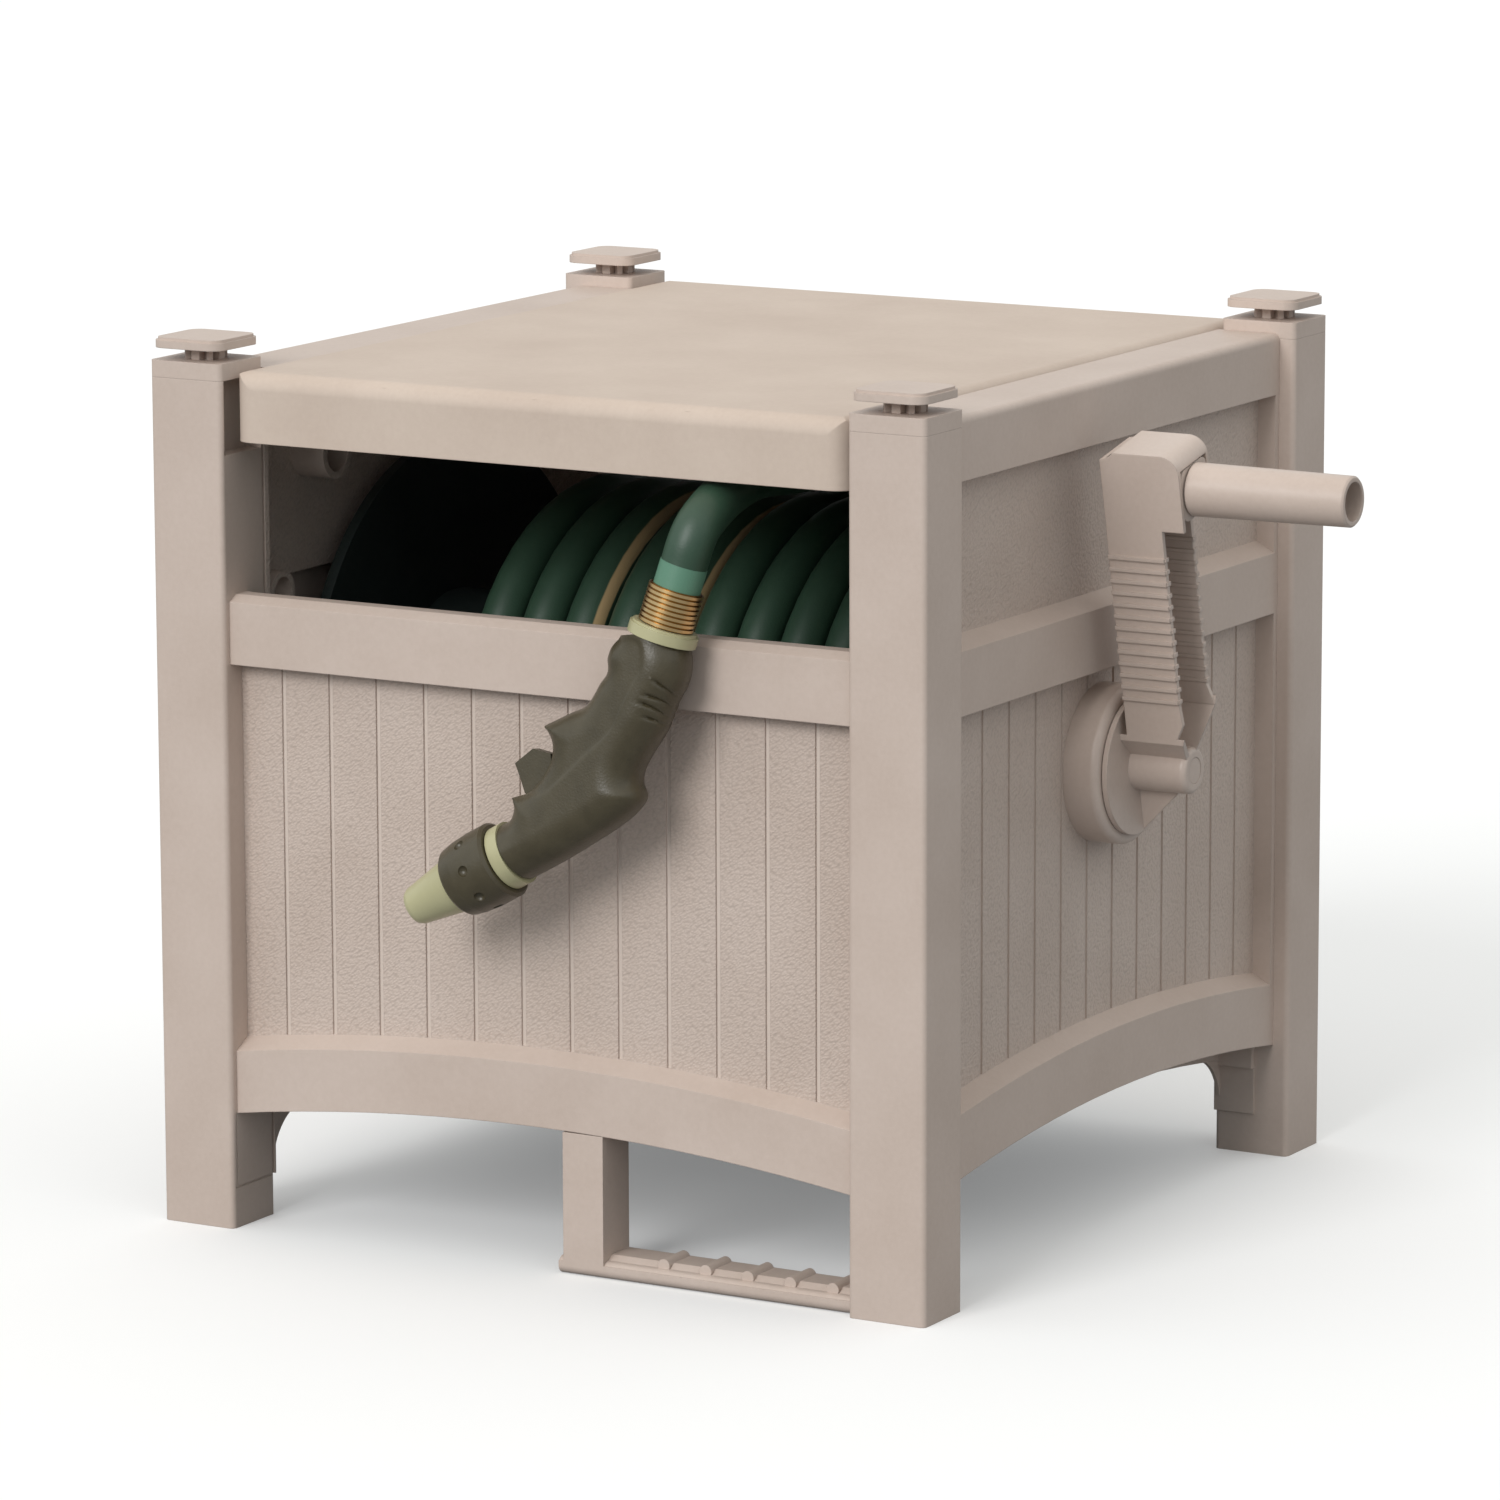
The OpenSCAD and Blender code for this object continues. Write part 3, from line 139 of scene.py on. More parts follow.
# Painted studio board: matt white. It is lifted a little for the camera alone, so that it meets
# the white background while the shadow under the box stays. It throws back less light than it
# shows, so that undersides are as dark as in the photo.
board, tree = new_material("painted_board")
looking = add(tree, "LightPath").outputs["Is Camera Ray"]
paint = add(tree, "BsdfDiffuse", {"Color": linear("#E6E6E6")})
lift = add(tree, "Emission", {"Color": (1, 1, 1, 1), "Strength": FLOOR_LIFT})
bright = add(tree, "AddShader", {0: paint, 1: lift})
dull = add(tree, "BsdfDiffuse", {"Color": linear("#8E9092")})
mixed = add(tree, "MixShader", {0: looking, 1: dull, 2: bright})
add(tree, "OutputMaterial", {"Surface": mixed})
floor_mesh.materials.append(board)

# The four panels: injection-moulded polypropylene in taupe, snapped between the corner posts.
# Their rails are smooth, and their sunk fields have a pebbled leather grain and fine grooves.
BOX_CENTRE_X = -0.063
# From the middle of the box to the outer face of a sunk field, and how deep its grooves are
SIDE_SHEET = 0.2095
FRONT_SHEET = 0.2115
GROOVE_DEPTH = 0.0010
# The grain starts at this height, above the arched rails
ARCH_TOP = 0.078
# Wrinkles 2 mm long and 1.2 mm wide that lie on the slant, as scales along and across them
WRINKLE_ALONG = (310, 310, 350)
WRINKLE_ACROSS = (540, 540, -600)
WRINKLE_DEPTH = 0.00042
# Strengths of the painted shade in the wrinkles' creases and the painted light in the grooves
WRINKLE_SHADE = 0.24
GROOVE_PAINTED_LIGHT = 0.30


def leather_grain(tree, place, sheet, across, normal, colour):
    """The pebbled grain of a sunk field, with painted shade in its creases, and the smooth floor
    of its grooves, made paler by painted light that lifts their shade, as a normal and a colour
    over those that are given."""
    along = add(tree, "VectorMath", {0: place, 1: WRINKLE_ALONG}, operation="DOT_PRODUCT")
    over = add(tree, "VectorMath", {0: place, 1: WRINKLE_ACROSS}, operation="DOT_PRODUCT")
    slant = add(tree, "CombineXYZ", {"X": along, "Y": over})
    # Noise 3 mm across bends the wrinkles, so that no two are alike
    wander = add(tree, "TexNoise", {"Vector": place, "Scale": 330.0, "Detail": 2.0})
    bent = add(tree, "VectorMath", {0: wander.outputs["Color"], 1: (0.9, 0.9, 0.0), 2: slant},
               operation="MULTIPLY_ADD")
    pebble = add(tree, "TexVoronoi", {"Vector": bent, "Scale": 1.0, "Randomness": 0.9},
                 voronoi_dimensions="2D", feature="SMOOTH_F1")
    # It lies no further out than the field, on upright faces above the arched rail
    from_middle = add(tree, "VectorMath", {0: place, 1: (-BOX_CENTRE_X, 0, 0)}, operation="ADD")
    part = add(tree, "SeparateXYZ", {0: from_middle})
    out = add(tree, "Math", {0: part.outputs[across]}, operation="ABSOLUTE")
    sunk = add(tree, "MapRange", {"Value": out, "From Min": sheet + 0.0004,
                                  "From Max": sheet + 0.0010, "To Min": 1.0, "To Max": 0.0})
    above = add(tree, "MapRange", {"Value": part.outputs["Z"], "From Min": ARCH_TOP,
                                   "From Max": ARCH_TOP + 0.002})
    face = add(tree, "SeparateXYZ", {0: add(tree, "TexCoord").outputs["Normal"]})
    upright = add(tree, "Math", {0: face.outputs[across]}, operation="ABSOLUTE")
    upright = add(tree, "Math", {0: upright, 1: 0.9}, operation="GREATER_THAN")
    groove = add(tree, "Math", {0: out, 1: sheet - GROOVE_DEPTH, 2: 0.0006}, operation="COMPARE")
    groove = add(tree, "Math", {0: groove, 1: upright}, operation="MULTIPLY")
    grain = add(tree, "Math", {0: above, 1: upright}, operation="MULTIPLY")
    grain = add(tree, "Math", {0: grain, 1: groove}, operation="SUBTRACT", use_clamp=True)
    grain = add(tree, "Math", {0: grain, 1: sunk}, operation="MULTIPLY")
    normal = add(tree, "Bump", {"Height": pebble, "Distance": -WRINKLE_DEPTH, "Strength": grain,
                                "Normal": normal})
    # Painted shade darkens the creases between the pebbles
    painted_crease_shade = add(tree, "MapRange", {"Value": pebble, "From Min": 0.25, "From Max": 0.8})
    painted_crease_shade = add(tree, "Math", {0: painted_crease_shade, 1: grain}, operation="MULTIPLY")
    painted_crease_shade = add(tree, "Math", {0: painted_crease_shade, 1: WRINKLE_SHADE}, operation="MULTIPLY")
    colour = add(tree, "Mix", {"Factor": painted_crease_shade, "A": colour, "B": linear("#85786E")},
                 data_type="RGBA")
    # Painted light makes the floors of the grooves paler, lifting the shade that falls in them
    painted_groove_light = add(tree, "Math", {0: groove, 1: GROOVE_PAINTED_LIGHT}, operation="MULTIPLY")
    colour = add(tree, "Mix", {"Factor": painted_groove_light, "A": colour, "B": linear("#EBE0D6")},
                 data_type="RGBA")
    return normal, colour


def polypropylene(name, light, dark, roughness=0.5, gloss=0.4, edge_r=0.0007, sheet=None,
                  across="X"):
    """Moulded polypropylene: an even satin skin, cloudy where the melt met, with edges of radius
    edge_r. Sheet and across are the place and the axis of a sunk field with its leather grain."""
    made, tree = new_material(name)
    place = add(tree, "TexCoord").outputs["Object"]
    # Clouds 60 mm across and specks 3 mm across vary the colour by a few per cent
    cloud = add(tree, "TexNoise", {"Vector": place, "Scale": 16.0, "Detail": 3.0})
    speck = add(tree, "TexNoise", {"Vector": place, "Scale": 330.0, "Detail": 2.0,
                                   "Roughness": 0.6})
    share = add(tree, "Math", {0: speck, 1: 0.45, 2: cloud}, operation="MULTIPLY_ADD")
    share = add(tree, "MapRange", {"Value": share, "From Min": 0.45, "From Max": 1.0})
    colour = add(tree, "Mix", {"Factor": share, "A": linear(dark), "B": linear(light)},
                 data_type="RGBA")
    # The mould's fine spark texture is 0.3 mm, and is drawn at 1.1 mm to show
    spark = add(tree, "TexNoise", {"Vector": place, "Scale": 900.0, "Detail": 1.0})
    edge = add(tree, "Bevel", {"Radius": edge_r}, samples=4)
    normal = add(tree, "Bump", {"Height": spark, "Distance": 0.00006, "Strength": 0.5,
                                "Normal": edge})
    if sheet:
        normal, colour = leather_grain(tree, place, sheet, across, normal, colour)
    shader = add(tree, "BsdfPrincipled", {"Base Color": colour, "Normal": normal, "IOR": 1.49,
                                          "Roughness": roughness, "Specular IOR Level": gloss})
    add(tree, "OutputMaterial", {"Surface": shader})
    return made


def finish(material, *names):
    """Gives CAD nodes their material."""
    for name in names:
        nodes[name].data.materials.clear()
        nodes[name].data.materials.append(material)


TAUPE_LIGHT = "#CBBAAF"
TAUPE_DARK = "#C0AEA2"
finish(polypropylene("pebbled_polypropylene_side", TAUPE_LIGHT, TAUPE_DARK, sheet=SIDE_SHEET),
       "left_panel", "right_panel")
finish(polypropylene("pebbled_polypropylene_front", TAUPE_LIGHT, TAUPE_DARK, sheet=FRONT_SHEET,
                     across="Y"),
       "front_panel", "back_panel")

# Corner posts: hollow square mouldings with a plug cap and a square-headed pin in each top.
# They are the same taupe polypropylene, smooth all over.
smooth_resin = polypropylene("smooth_polypropylene", TAUPE_LIGHT, TAUPE_DARK)
for corner in ("front_left", "front_right", "rear_left", "rear_right"):
    finish(smooth_resin, "post_" + corner, "cap_" + corner, "corner_pin_" + corner)

# Foothold: one hollow moulding, screwed behind the front arch and held down by a foot while the
# hose is pulled out. Its screws are zinc-plated steel.
finish(smooth_resin, "foothold")


def plated_steel(name):
    """Zinc-plated steel: pale bluish metal with a fine matt haze."""
    made, tree = new_material(name)
    place = add(tree, "TexCoord").outputs["Object"]
    # The haze is finer than 0.1 mm, and is drawn at 1.4 mm to show
    haze = add(tree, "TexNoise", {"Vector": place, "Scale": 700.0, "Detail": 3.0})
    colour = add(tree, "Mix", {"Factor": haze, "A": linear("#B9BCC0"), "B": linear("#D5D6D8")},
                 data_type="RGBA")
    rough = add(tree, "MapRange", {"Value": haze, "To Min": 0.25, "To Max": 0.45})
    shader = add(tree, "BsdfPrincipled", {"Base Color": colour, "Roughness": rough,
                                          "Metallic": 1.0})
    add(tree, "OutputMaterial", {"Surface": shader})
    return made


zinc = plated_steel("zinc_plated_steel")
finish(zinc, "foothold_screws")

# Lid: one shell with a deep apron over the hose opening, hinged on two stubs between the rear
# posts. The same polypropylene, duller and a little yellowed on its broad top.
finish(polypropylene("lid_polypropylene", "#CCBBAD", "#C2B0A2", roughness=0.6, gloss=0.3), "lid")

# Left side: the bearing plate of the reel and the fixed water inlet on the outside, with its
# screws and its two rubber O-rings.
dark_resin = polypropylene("dark_green_polypropylene", "#2E3634", "#1F2625", roughness=0.42)
finish(dark_resin, "reel_bearing")
finish(smooth_resin, "inlet_housing")
finish(zinc, "inlet_screws")


def matt_black(name, colour, roughness):
    """Moulded rubber or nylon: black and matt, with a faint bloom."""
    made, tree = new_material(name)
    place = add(tree, "TexCoord").outputs["Object"]
    # The bloom comes in spots 2.4 mm across
    bloom = add(tree, "TexNoise", {"Vector": place, "Scale": 420.0, "Detail": 3.0})
    rough = add(tree, "MapRange", {"Value": bloom, "To Min": roughness - 0.08,
                                   "To Max": roughness + 0.08})
    normal = add(tree, "Bump", {"Height": bloom, "Distance": 0.00005})
    shader = add(tree, "BsdfPrincipled", {"Base Color": linear(colour), "Normal": normal,
                                          "Roughness": rough, "IOR": 1.52})
    add(tree, "OutputMaterial", {"Surface": shader})
    return made


finish(matt_black("nitrile_rubber", "#1E1E1F", 0.55), "inlet_o_rings", "coupling_washer")

# Reel: two ribbed flanges on a drum, moulded in a near-black green, with the black nylon water
# pipe through its left journal.
finish(dark_resin, "reel_flange_left", "reel_flange_right", "reel_drum")
finish(matt_black("black_nylon", "#19191A", 0.4), "water_pipe")

# Hose: smooth PVC garden hose, 24 mm thick, green with one tan stripe along it. The reel holds
# three layers: two packed under the loose outer one.
HOSE_R = 0.012
REEL_AXIS = np.array([BOX_CENTRE_X, 0.0, 0.250])
# The first wrap's place along the axis, and each layer's radius, pitch and turns
FIRST_WRAP = -0.1035
OUTER_LAYER = (0.118, 0.026, 247 / 24)
MIDDLE_LAYER = (0.0942, 0.0248, 10.85)
INMOST_LAYER = (0.0724, 0.0248, 10.85)
STEPS_PER_TURN = 48
# Degrees from the middle of the stripe at which its border starts and ends
STRIPE_BORDER = (14.0, 18.0)
# The hidden side of a tube, in degrees from the side that faces right
HIDDEN_SIDE = 150.0


def pvc_hose(name, light, dark, stripe):
    """Flexible PVC: smooth and a little waxy, darker where dirt lies, with a printed stripe."""
    made, tree = new_material(name)
    place = add(tree, "TexCoord").outputs["Object"]
    # Dirt lies in patches 30 mm across
    dirt = add(tree, "TexNoise", {"Vector": place, "Scale": 34.0, "Detail": 5.0,
                                  "Roughness": 0.65})
    base = add(tree, "Mix", {"Factor": dirt, "A": linear(dark), "B": linear(light)},
               data_type="RGBA")
    from_stripe = add(tree, "Attribute", attribute_name="from_stripe").outputs["Fac"]
    on_stripe = add(tree, "MapRange", {"Value": from_stripe, "From Min": STRIPE_BORDER[0],
                                       "From Max": STRIPE_BORDER[1], "To Min": 1.0,
                                       "To Max": 0.0})
    base = add(tree, "Mix", {"Factor": on_stripe, "A": base, "B": linear(stripe)},
               data_type="RGBA")
    # The skin is uneven by hundredths of a millimetre, in waves that are drawn at 1.2 mm to show
    skin = add(tree, "TexNoise", {"Vector": place, "Scale": 850.0, "Detail": 2.0})
    normal = add(tree, "Bump", {"Height": skin, "Distance": 0.00008})
    shader = add(tree, "BsdfPrincipled", {"Base Color": base, "Normal": normal,
                                          "Roughness": 0.46, "IOR": 1.53})
    add(tree, "OutputMaterial", {"Surface": shader})
    return made


def shade(mesh, sharp_above):
    """Smooth shading with edges kept sharp above an angle in degrees."""
    mesh.polygons.foreach_set("use_smooth", [True] * len(mesh.polygons))
    mesh.set_sharp_from_angle(angle=math.radians(sharp_above))


def tube(name, line, sides, stripe):
    """A closed piece of hose round a line of points. Stripe is the angle of the tan stripe at
    each point, from the side of the hose that faces right."""
    line = np.array(line, float)
    heading = np.gradient(line, axis=0)
    heading /= np.linalg.norm(heading, axis=1)[:, None]
    right = np.array([1.0, 0.0, 0.0]) - heading[:, :1] * heading
    right /= np.linalg.norm(right, axis=1)[:, None]
    over = np.cross(heading, right)
    around = np.radians(np.arange(sides) * 360 / sides)
    rings = (line[:, None] + HOSE_R * (np.cos(around)[None, :, None] * right[:, None]
                                       + np.sin(around)[None, :, None] * over[:, None]))
    count = len(line)
    faces = []
    for start in range(0, (count - 1) * sides, sides):
        for k in range(sides):
            after = (k + 1) % sides
            faces.append((start + k, start + after, start + sides + after, start + sides + k))
    faces += [tuple(range(sides))[::-1], tuple((count - 1) * sides + k for k in range(sides))]
    mesh = bpy.data.meshes.new(name)
    mesh.from_pydata(rings.reshape(-1, 3).tolist(), [], faces)
    off = np.degrees(around)[None, :] - np.array(stripe, float).reshape(-1, 1)
    off = np.broadcast_to(np.abs((off + 180) % 360 - 180), (count, sides))
    from_stripe = mesh.attributes.new("from_stripe", "FLOAT", "POINT")
    from_stripe.data.foreach_set("value", off.astype(np.float32).ravel())
    shade(mesh, 60)
    piece = bpy.data.objects.new(name, mesh)
    bpy.context.scene.collection.objects.link(piece)
    return piece


def winding(layer, lead=0.0):
    """Points of a helix round the reel's axis that starts at the bottom and runs towards the
    back. Lead is the length of the straight run at each end."""
    radius, pitch, turns = layer
    steps = np.arange(int(round(turns * STEPS_PER_TURN)) + 1)
    angle = np.radians(270 + steps * 360 / STEPS_PER_TURN)
    along = FIRST_WRAP + pitch * steps / STEPS_PER_TURN
    points = np.stack([along, -radius * np.cos(angle), radius * np.sin(angle)], axis=1)
    if lead:
        ahead = points[-1] - points[-2]
        tail = points[-1] + lead * ahead / np.linalg.norm(ahead)
        points = np.vstack([points[0] + np.array([0.0, lead, 0.0]), points, tail])
    return points + REEL_AXIS


green_pvc = pvc_hose("green_pvc", "#375240", "#253C2D", "#B79C72")
outer_line = winding(OUTER_LAYER, lead=0.024)
# Turn and angle of the stripe where the wrap crosses the middle of the mouth, how far it drifts
# with each turn, and how far it then turns away out of sight, in degrees
MIDDLE_TURN = 3.35
STRIPE_THERE = -24
STRIPE_DRIFT = 8
STRIPE_AWAY = 110
# Turns from the middle after which it turns away, and over which it does
TURNS_SEEN = 1.2
TURNS_LEAVING = 0.9
off_middle = np.arange(len(outer_line)) / STEPS_PER_TURN - MIDDLE_TURN
away = np.clip((np.abs(off_middle) - TURNS_SEEN) / TURNS_LEAVING, 0, 1)
outer = tube("wound_hose_outer", outer_line, sides=20,
             stripe=STRIPE_THERE + STRIPE_DRIFT * off_middle + STRIPE_AWAY * away)
outer.data.materials.append(green_pvc)
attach(outer, "reel")
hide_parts("wound_hose")

middle_line = winding(MIDDLE_LAYER)
inner = tube("wound_hose_inner", middle_line, sides=16,
             stripe=np.full(len(middle_line), HIDDEN_SIDE))
inner.data.materials.append(green_pvc)
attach(inner, "reel")
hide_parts("hose_core")

inmost_line = winding(INMOST_LAYER)
inmost = tube("wound_hose_inmost", inmost_line, sides=12,
              stripe=np.full(len(inmost_line), HIDDEN_SIDE))
inmost.data.materials.append(green_pvc)
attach(inmost, "reel")

# Crank: a channel-shaped arm on a square shank, turning in a round collar that is screwed to the
# right panel, with a folding knuckle and a free grip. Polypropylene, with steel pins and screws.
finish(polypropylene("crank_polypropylene", TAUPE_LIGHT, TAUPE_DARK, roughness=0.36, gloss=0.5,
                     edge_r=0.0009),
       "crank_collar", "crank_arm", "crank_plug", "grip_knuckle", "crank_grip")
finish(zinc, "collar_screws", "crank_screw", "knuckle_pin", "grip_retainer")

# Free end of the hose: it leaves the outer layer under the reel, climbs behind it, passes over it
# and bends out under the lid's apron into its green sleeve and ribbed brass coupling.
NOZZLE_AT = np.array([0.027, -0.240, 0.347])
LEAN = math.radians(8)
# Foot of the handle's axis in the nozzle's plane, in millimetres, and how far the axis tilts
HANDLE_FOOT = (-3.5, -6)
HANDLE_TILT = math.radians(15)


def in_plane(x, z, out=0.0):
    """A point of the nozzle's own plane, in millimetres from the middle of its collar."""
    return NOZZLE_AT + 0.001 * np.array([x, z * math.sin(LEAN) - out * math.cos(LEAN),
                                         z * math.cos(LEAN) + out * math.sin(LEAN)])


def along_handle(s):
    """A point on the axis of the nozzle's handle, s millimetres above its foot."""
    return in_plane(HANDLE_FOOT[0] + s * math.sin(HANDLE_TILT),
                    HANDLE_FOOT[1] + s * math.cos(HANDLE_TILT))


# Degrees by which the stripe turns round the hose on its way to the coupling
FREE_END_TWIST = 55
# Points of the route in millimetres from the floor under the box's middle
ROUTE = [
    (-103.5, 24, 132), (-103.5, 50, 132), (-105, 76, 135), (-103, 103, 147), (-92, 133, 188),
    (-68, 146, 237), (-38, 142, 288), (-8, 120, 334), (24, 84, 370), (52, 38, 394),
    (70, 0, 400), (74, -20, 402), (80, -60, 405), (88, -110, 409), (94, -160, 413),
    (98, -190, 410.5), (100.5, -207, 407.5), (101.5, -221, 402.5), (101, -230, 396.5),
]
route = [np.array([x * 0.001 + BOX_CENTRE_X, y * 0.001, z * 0.001]) for x, y, z in ROUTE]
# The hose ends on the coupling's shank, out of sight
route += [along_handle(50), along_handle(39.5), along_handle(20), along_handle(2)]


def smooth_line(points, per_span):
    """Points on one smooth curve through the given points."""
    points = [2 * points[0] - points[1]] + list(points) + [2 * points[-1] - points[-2]]
    out = []
    for a, b, c, d in zip(points, points[1:], points[2:], points[3:]):
        t0 = 0.0
        t1 = t0 + np.linalg.norm(b - a) ** 0.5
        t2 = t1 + np.linalg.norm(c - b) ** 0.5
        t3 = t2 + np.linalg.norm(d - c) ** 0.5
        for t in np.linspace(t1, t2, per_span, endpoint=False):
            ab = (t1 - t) / (t1 - t0) * a + (t - t0) / (t1 - t0) * b
            bc = (t2 - t) / (t2 - t1) * b + (t - t1) / (t2 - t1) * c
            cd = (t3 - t) / (t3 - t2) * c + (t - t2) / (t3 - t2) * d
            abc = (t2 - t) / (t2 - t0) * ab + (t - t0) / (t2 - t0) * bc
            bcd = (t3 - t) / (t3 - t1) * bc + (t - t1) / (t3 - t1) * cd
            out.append((t2 - t) / (t2 - t1) * abc + (t - t1) / (t2 - t1) * bcd)
    out.append(points[-2])
    return np.array(out)


free_line = smooth_line(route, per_span=6)
free = tube("free_end", free_line, sides=24,
            stripe=np.linspace(HIDDEN_SIDE, HIDDEN_SIDE + FREE_END_TWIST, len(free_line)))
free.data.materials.append(green_pvc)
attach(free, "cabinet")
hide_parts("free_hose")
finish(pvc_hose("light_green_pvc", "#5A846E", "#4E765F", "#5A846E"), "hose_sleeve")


def turned_brass(name, low, high):
    """Turned brass, dulled by water: warm yellow metal, browner in patches and between its ribs.
    Low and high are the radii of its grooves and ribs round the handle's axis."""
    made, tree = new_material(name)
    place = add(tree, "TexCoord").outputs["Object"]
    # Tarnish comes in patches 8 mm across
    tarnish = add(tree, "TexNoise", {"Vector": place, "Scale": 120.0, "Detail": 4.0,
                                     "Roughness": 0.6})
    tint = add(tree, "Mix", {"Factor": tarnish, "A": linear("#D2A66A"), "B": linear("#F0D6A4")},
               data_type="RGBA")
    foot = along_handle(0)
    axis = (along_handle(1) - foot) * 1000
    away = add(tree, "VectorMath", {0: place, 1: tuple(foot)}, operation="SUBTRACT")
    away = add(tree, "VectorMath", {0: away, 1: tuple(axis)}, operation="CROSS_PRODUCT")
    away = add(tree, "VectorMath", {0: away}, operation="LENGTH")
    on_rib = add(tree, "MapRange", {"Value": away, "From Min": low, "From Max": high})
    tint = add(tree, "Mix", {"Factor": on_rib, "A": linear("#946A34"), "B": tint},
               data_type="RGBA")
    rough = add(tree, "MapRange", {"Value": tarnish, "To Min": 0.42, "To Max": 0.24})
    shader = add(tree, "BsdfPrincipled", {"Base Color": tint, "Roughness": rough,
                                          "Metallic": 1.0})
    add(tree, "OutputMaterial", {"Surface": shader})
    return made


finish(turned_brass("turned_brass", low=0.0135, high=0.0142), "hose_coupling")

# Spray nozzle: a moulded core under a soft thermoplastic overmould, with finger notches in front,
# grip grooves on the back of its handle, and pale acetal collar, ring and tip.

# Edge lines in the nozzle's plane, from the collar down to the barrel's ring, in millimetres
FAR_EDGE = [(9.4, -1.5), (9.8, -5.7), (11.6, -10.2), (13.0, -16.0), (12.6, -24.9), (10.8, -30.5),
            (8.2, -35.5), (5.4, -42.5), (2.2, -51.4), (-3.8, -61.5), (-7.4, -67.6),
            (-10.6, -75.0), (-10.4, -79.4), (-8.2, -83.6), (-8.0, -88.0), (-12.8, -95.0),
            (-20.6, -101.9), (-35.4, -112.0), (-51.3, -122.3), (-71.0, -133.6)]
NEAR_EDGE = [(-24.6, -6.2), (-29.4, -11.6), (-31.4, -18.2), (-30.8, -24.4), (-34.8, -30.7),
             (-38.1, -36.9), (-42.2, -42.5), (-51.3, -47.1), (-65.8, -54.6)]
# The spike over the trigger, the cheek beside it and the small guard below it
CHEEK_EDGE = [(-65.8, -54.6), (-59.4, -59.6), (-56.6, -65.0), (-56.8, -71.0), (-59.5, -77.2),
              (-63.6, -83.4), (-68.8, -88.8), (-75.0, -91.2), (-81.9, -93.5)]
GUARD_EDGE = [(-81.9, -93.5), (-80.3, -98.6), (-82.0, -103.8), (-88.0, -107.4)]
# Raised contour on the side of the grip, and the five grooves under the heel of the hand
CONTOUR = [(-20.2, -8.5), (-14.8, -6.4), (-8.6, -6.9), (-5.5, -10.7), (-5.3, -21.2),
           (-10.1, -31.2), (-15.9, -43.2), (-19.6, -52.2), (-25.8, -59.4), (-34.2, -66.9),
           (-44.6, -77.5), (-55.1, -87.2)]
GROOVES = [
    [(10.5, -26.6), (12.9, -32.9), (8.4, -38.0)],
    [(1.0, -25.5), (7.2, -31.5), (10.2, -39.8)],
    [(-3.4, -33.6), (4.2, -36.7), (8.7, -43.8)],
    [(-5.9, -37.6), (1.1, -40.8), (6.3, -47.8)],
    [(-4.2, -44.7), (1.6, -47.4), (4.4, -52.8)],
]
# Half of the grip's thickness, and how far in from its edges it is reached
HALF_THICK = 17.0
ROUND_OVER = 17.0
# The height of the contour's step and the softness of its edge, a groove's depth and half width,
# the length over which its ends run out, and the least half thickness between the edges
CONTOUR_STEP = 1.3
CONTOUR_SOFT = 0.4
GRIP_GROOVE = 2.2
GRIP_GROOVE_HALF = 0.8
GRIP_GROOVE_END = 3
LEAST_HALF = 0.05
# The mesh: a step along the edges, one along the fine lines, rows beside both, and a net between.
# The edge lines run on past its ends where the thickness is measured from them
EDGE_STEP = 1.0
LINE_STEP = 0.9
END_POINTS = 34
EDGE_ROWS = (0.12, 0.5, 1.1, 2.0, 3.2, 4.6)
CONTOUR_ROWS = (-2.0, -0.9, 0.0, 0.9, 2.0)
GROOVE_ROWS = (-1.6, -0.8, 0.0, 0.8, 1.6)
NET_STEP = 1.7
NET_CLEAR = 5.4
PAST_END = 30
JOIN_WITHIN = 0.02


def resampled(points, step):
    """Corner points of a line as evenly spread points, a step apart, on a smooth line."""
    line = smooth_line([np.array([x, z, 0.0]) for x, z in points], per_span=12)[:, :2]
    far = np.concatenate([[0], np.cumsum(np.linalg.norm(np.diff(line, axis=0), axis=1))])
    at = np.linspace(0, far[-1], max(int(far[-1] / step), 2) + 1)
    return np.stack([np.interp(at, far, line[:, k]) for k in range(2)], axis=1)


def to_line(points, line):
    """The distance from each point to a line of points."""
    nearest = np.full(len(points), 1e9)
    for a, b in zip(line, line[1:]):
        along = np.clip(((points - a) @ (b - a)) / max((b - a) @ (b - a), 1e-12), 0, 1)
        off = points - a - along[:, None] * (b - a)
        nearest = np.minimum(nearest, np.linalg.norm(off, axis=1))
    return nearest


def within(points, ring):
    """Whether each point lies inside a closed ring of points."""
    inside = np.zeros(len(points), bool)
    for a, b in zip(ring, np.roll(ring, -1, axis=0)):
        rising = (a[1] > points[:, 1]) != (b[1] > points[:, 1])
        meets = a[0] + (points[:, 1] - a[1]) * (b[0] - a[0]) / (b[1] - a[1] + 1e-12)
        inside ^= rising & (points[:, 0] < meets)
    return inside


def sideways(line):
    """The direction across a line at each of its points."""
    heading = np.gradient(line, axis=0)
    heading /= np.linalg.norm(heading, axis=1)[:, None]
    return np.stack([heading[:, 1], -heading[:, 0]], axis=1)


def nozzle_outline():
    """The overmould's outline as its four edge lines, as a ring, and as whether each point of
    the ring lies where the overmould stands open: at the collar, the trigger and the ring."""
    edges = [resampled(e, EDGE_STEP) for e in (FAR_EDGE, NEAR_EDGE, CHEEK_EDGE, GUARD_EDGE)]
    far, near, cheek, guard = edges
    low = np.linspace(far[-1], guard[-1], END_POINTS)[1:-1]
    top = np.linspace(near[0], far[0], END_POINTS)[1:-1]
    runs = [(far, False), (low, True), (guard[::-1], False), (cheek[-2:0:-1], True),
            (near[::-1], False), (top, True)]
    ring = np.vstack([run for run, _ in runs])
    blunt = np.concatenate([np.full(len(run), is_open) for run, is_open in runs])
    return edges, ring, blunt


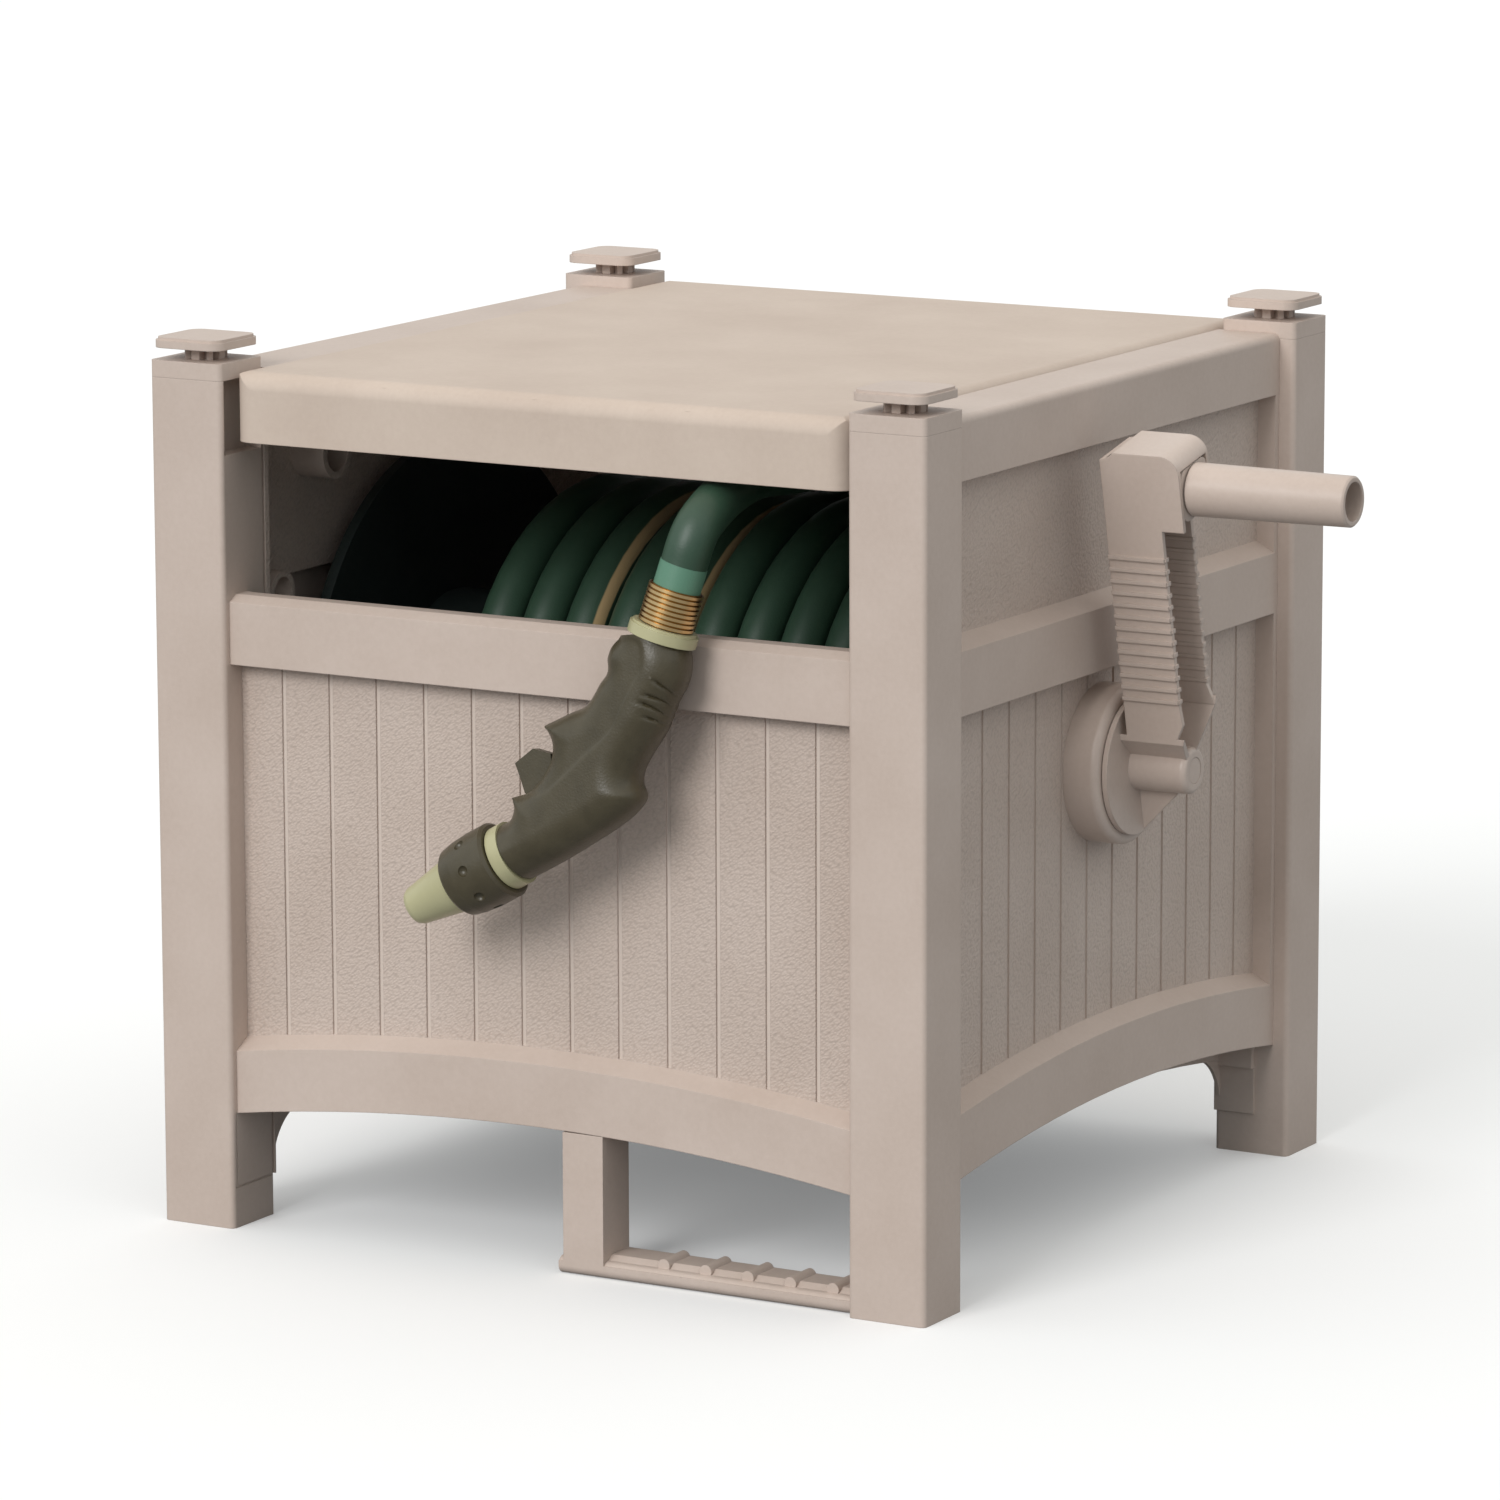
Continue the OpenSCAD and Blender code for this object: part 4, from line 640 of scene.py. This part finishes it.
def nozzle_spots(edges, ring):
    """Points inside the outline: rows beside its edges, the contour and the grooves, and a net."""
    closed = np.vstack([ring, ring[:1]])
    spots = []
    for line, inward in zip(edges, (1, -1, -1, -1)):
        for depth in EDGE_ROWS:
            row = line + sideways(line) * inward * depth
            # Points that come nearer to another edge are left out
            spots.append(row[to_line(row, closed) > 0.85 * depth])
    for line, rows in [(CONTOUR, CONTOUR_ROWS)] + [(groove, GROOVE_ROWS) for groove in GROOVES]:
        line = resampled(line, LINE_STEP)
        spots += [line + sideways(line) * row for row in rows]
    # The net covers the whole nozzle, with every second row set over by half a step
    net = np.meshgrid(np.arange(-90, 16, NET_STEP), np.arange(-136, 0, NET_STEP))
    net = np.stack(net, axis=-1).reshape(-1, 2)
    net[:, 0] += NET_STEP / 2 * (np.round(net[:, 1] / NET_STEP) % 2)
    spots.append(net[to_line(net, closed) > NET_CLEAR])
    spots = np.vstack(spots)
    return spots[within(spots, ring)]


def nozzle_thickness(points, edges):
    """Half of the overmould's thickness at each point. It grows from each edge as in an oval, so
    fins are thin and the grip is round."""
    far, near, cheek, guard = edges
    # Edge lines run on past the ends, and pass outside the trigger. Their points are 1 mm apart
    far = np.vstack([far[0] + PAST_END * (far[0] - far[3]) / 3, far,
                     far[-1] + PAST_END * (far[-1] - far[-4]) / 3])
    near = np.vstack([near[0] + PAST_END * np.array([0.2, 1.0]), near,
                      cheek[1:] + np.array([-3.6, 0.6]), guard[1:],
                      guard[-1] + np.array([-30.0, -17.0])])
    deep = np.clip(np.minimum(to_line(points, far), to_line(points, near)) / ROUND_OVER, 0, 1)
    thick = HALF_THICK * np.sqrt(1 - (1 - deep) ** 2)
    contour = resampled(CONTOUR, LINE_STEP)
    lowered = within(points, np.vstack([contour, [(-100.0, -100.0), (-100.0, 0.0)]]))
    step = to_line(points, contour) * np.where(lowered, 1, -1)
    thick -= CONTOUR_STEP * deep * (1 / (1 + np.exp(-step / CONTOUR_SOFT)))
    for groove in GROOVES:
        line = resampled(groove, LINE_STEP)
        from_ends = [np.linalg.norm(points - line[end], axis=1) for end in (0, -1)]
        run_out = np.clip(np.minimum(*from_ends) / GRIP_GROOVE_END, 0, 1)
        dent = GRIP_GROOVE * run_out * np.exp(-(to_line(points, line) / GRIP_GROOVE_HALF) ** 2)
        thick -= dent * np.clip(thick / 5, 0, 1)
    return thick


def nozzle_mesh(name):
    """The overmould as two faces between its edge lines, with walls where it stands open."""
    edges, ring, blunt = nozzle_outline()
    points = [Vector(p) for p in np.vstack([ring, nozzle_spots(edges, ring)])]
    # Triangles inside the ring alone, with points nearer than JOIN_WITHIN taken as one
    flat, _, faces, origin, _, _ = delaunay_2d_cdt(points, [], [list(range(len(ring)))], 1,
                                                   JOIN_WITHIN)
    flat = np.array([tuple(p) for p in flat])
    first_origin = [min(o) if o else len(points) for o in origin]
    on_edge = [k < len(ring) and not blunt[k] for k in first_origin]
    thick = np.where(on_edge, 0.0, np.maximum(nozzle_thickness(flat, edges), LEAST_HALF))

    verts = [in_plane(x, z, t) for (x, z), t in zip(flat, thick)]
    back_of = []
    for i, (x, z) in enumerate(flat):
        back_of.append(i if on_edge[i] else len(verts))
        if not on_edge[i]:
            verts.append(in_plane(x, z, -thick[i]))
    sides = dict.fromkeys((i, j) for face in faces for i, j in zip(face, face[1:] + face[:1]))
    walls = []
    for i, j in sides:
        if (j, i) not in sides and not (on_edge[i] and on_edge[j]):
            walls.append(list(dict.fromkeys([j, i, back_of[i], back_of[j]])))
    backs = [[back_of[i] for i in reversed(face)] for face in faces]
    mesh = bpy.data.meshes.new(name)
    mesh.from_pydata([tuple(v) for v in verts], [], [list(face) for face in faces] + backs + walls)
    turned = bmesh.new()
    turned.from_mesh(mesh)
    bmesh.ops.recalc_face_normals(turned, faces=turned.faces)
    turned.to_mesh(mesh)
    turned.free()
    shade(mesh, 55)
    return mesh


def soft_overmould(name, light, dark):
    """Thermoplastic elastomer: warm grey, matt, with a fine powdery skin."""
    made, tree = new_material(name)
    place = add(tree, "TexCoord").outputs["Object"]
    # Handling leaves cloudy patches 11 mm across. The powdery skin is drawn at 1.1 mm to show
    bloom = add(tree, "TexNoise", {"Vector": place, "Scale": 90.0, "Detail": 5.0,
                                   "Roughness": 0.6})
    colour = add(tree, "Mix", {"Factor": bloom, "A": linear(dark), "B": linear(light)},
                 data_type="RGBA")
    skin = add(tree, "TexNoise", {"Vector": place, "Scale": 900.0, "Detail": 2.0})
    normal = add(tree, "Bump", {"Height": skin, "Distance": 0.00010})
    shader = add(tree, "BsdfPrincipled", {"Base Color": colour, "Normal": normal,
                                          "Roughness": 0.37, "IOR": 1.55})
    add(tree, "OutputMaterial", {"Surface": shader})
    return made


overmould = soft_overmould("grey_overmould", "#524A37", "#38311F")
grip = bpy.data.objects.new("nozzle_overmould", nozzle_mesh("nozzle_overmould"))
bpy.context.scene.collection.objects.link(grip)
grip.data.materials.append(overmould)
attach(grip, "cabinet")
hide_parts("nozzle_body")
finish(overmould, "nozzle_trigger", "twist_collar")


def acetal(name, light, dark):
    """Moulded acetal: pale, dense and a little glossy, like wax."""
    made, tree = new_material(name)
    place = add(tree, "TexCoord").outputs["Object"]
    # The melt's flow shows in clouds 17 mm across
    flow = add(tree, "TexNoise", {"Vector": place, "Scale": 60.0, "Detail": 3.0})
    colour = add(tree, "Mix", {"Factor": flow, "A": linear(dark), "B": linear(light)},
                 data_type="RGBA")
    edge = add(tree, "Bevel", {"Radius": 0.0006}, samples=4)
    shader = add(tree, "BsdfPrincipled", {"Base Color": colour, "Normal": edge,
                                          "Roughness": 0.3, "IOR": 1.48})
    add(tree, "OutputMaterial", {"Surface": shader})
    return made


finish(acetal("pale_green_acetal", "#BDB892", "#A8A37F"),
       "nozzle_collar", "barrel_ring", "spray_tip")
finish(zinc, "trigger_pin")
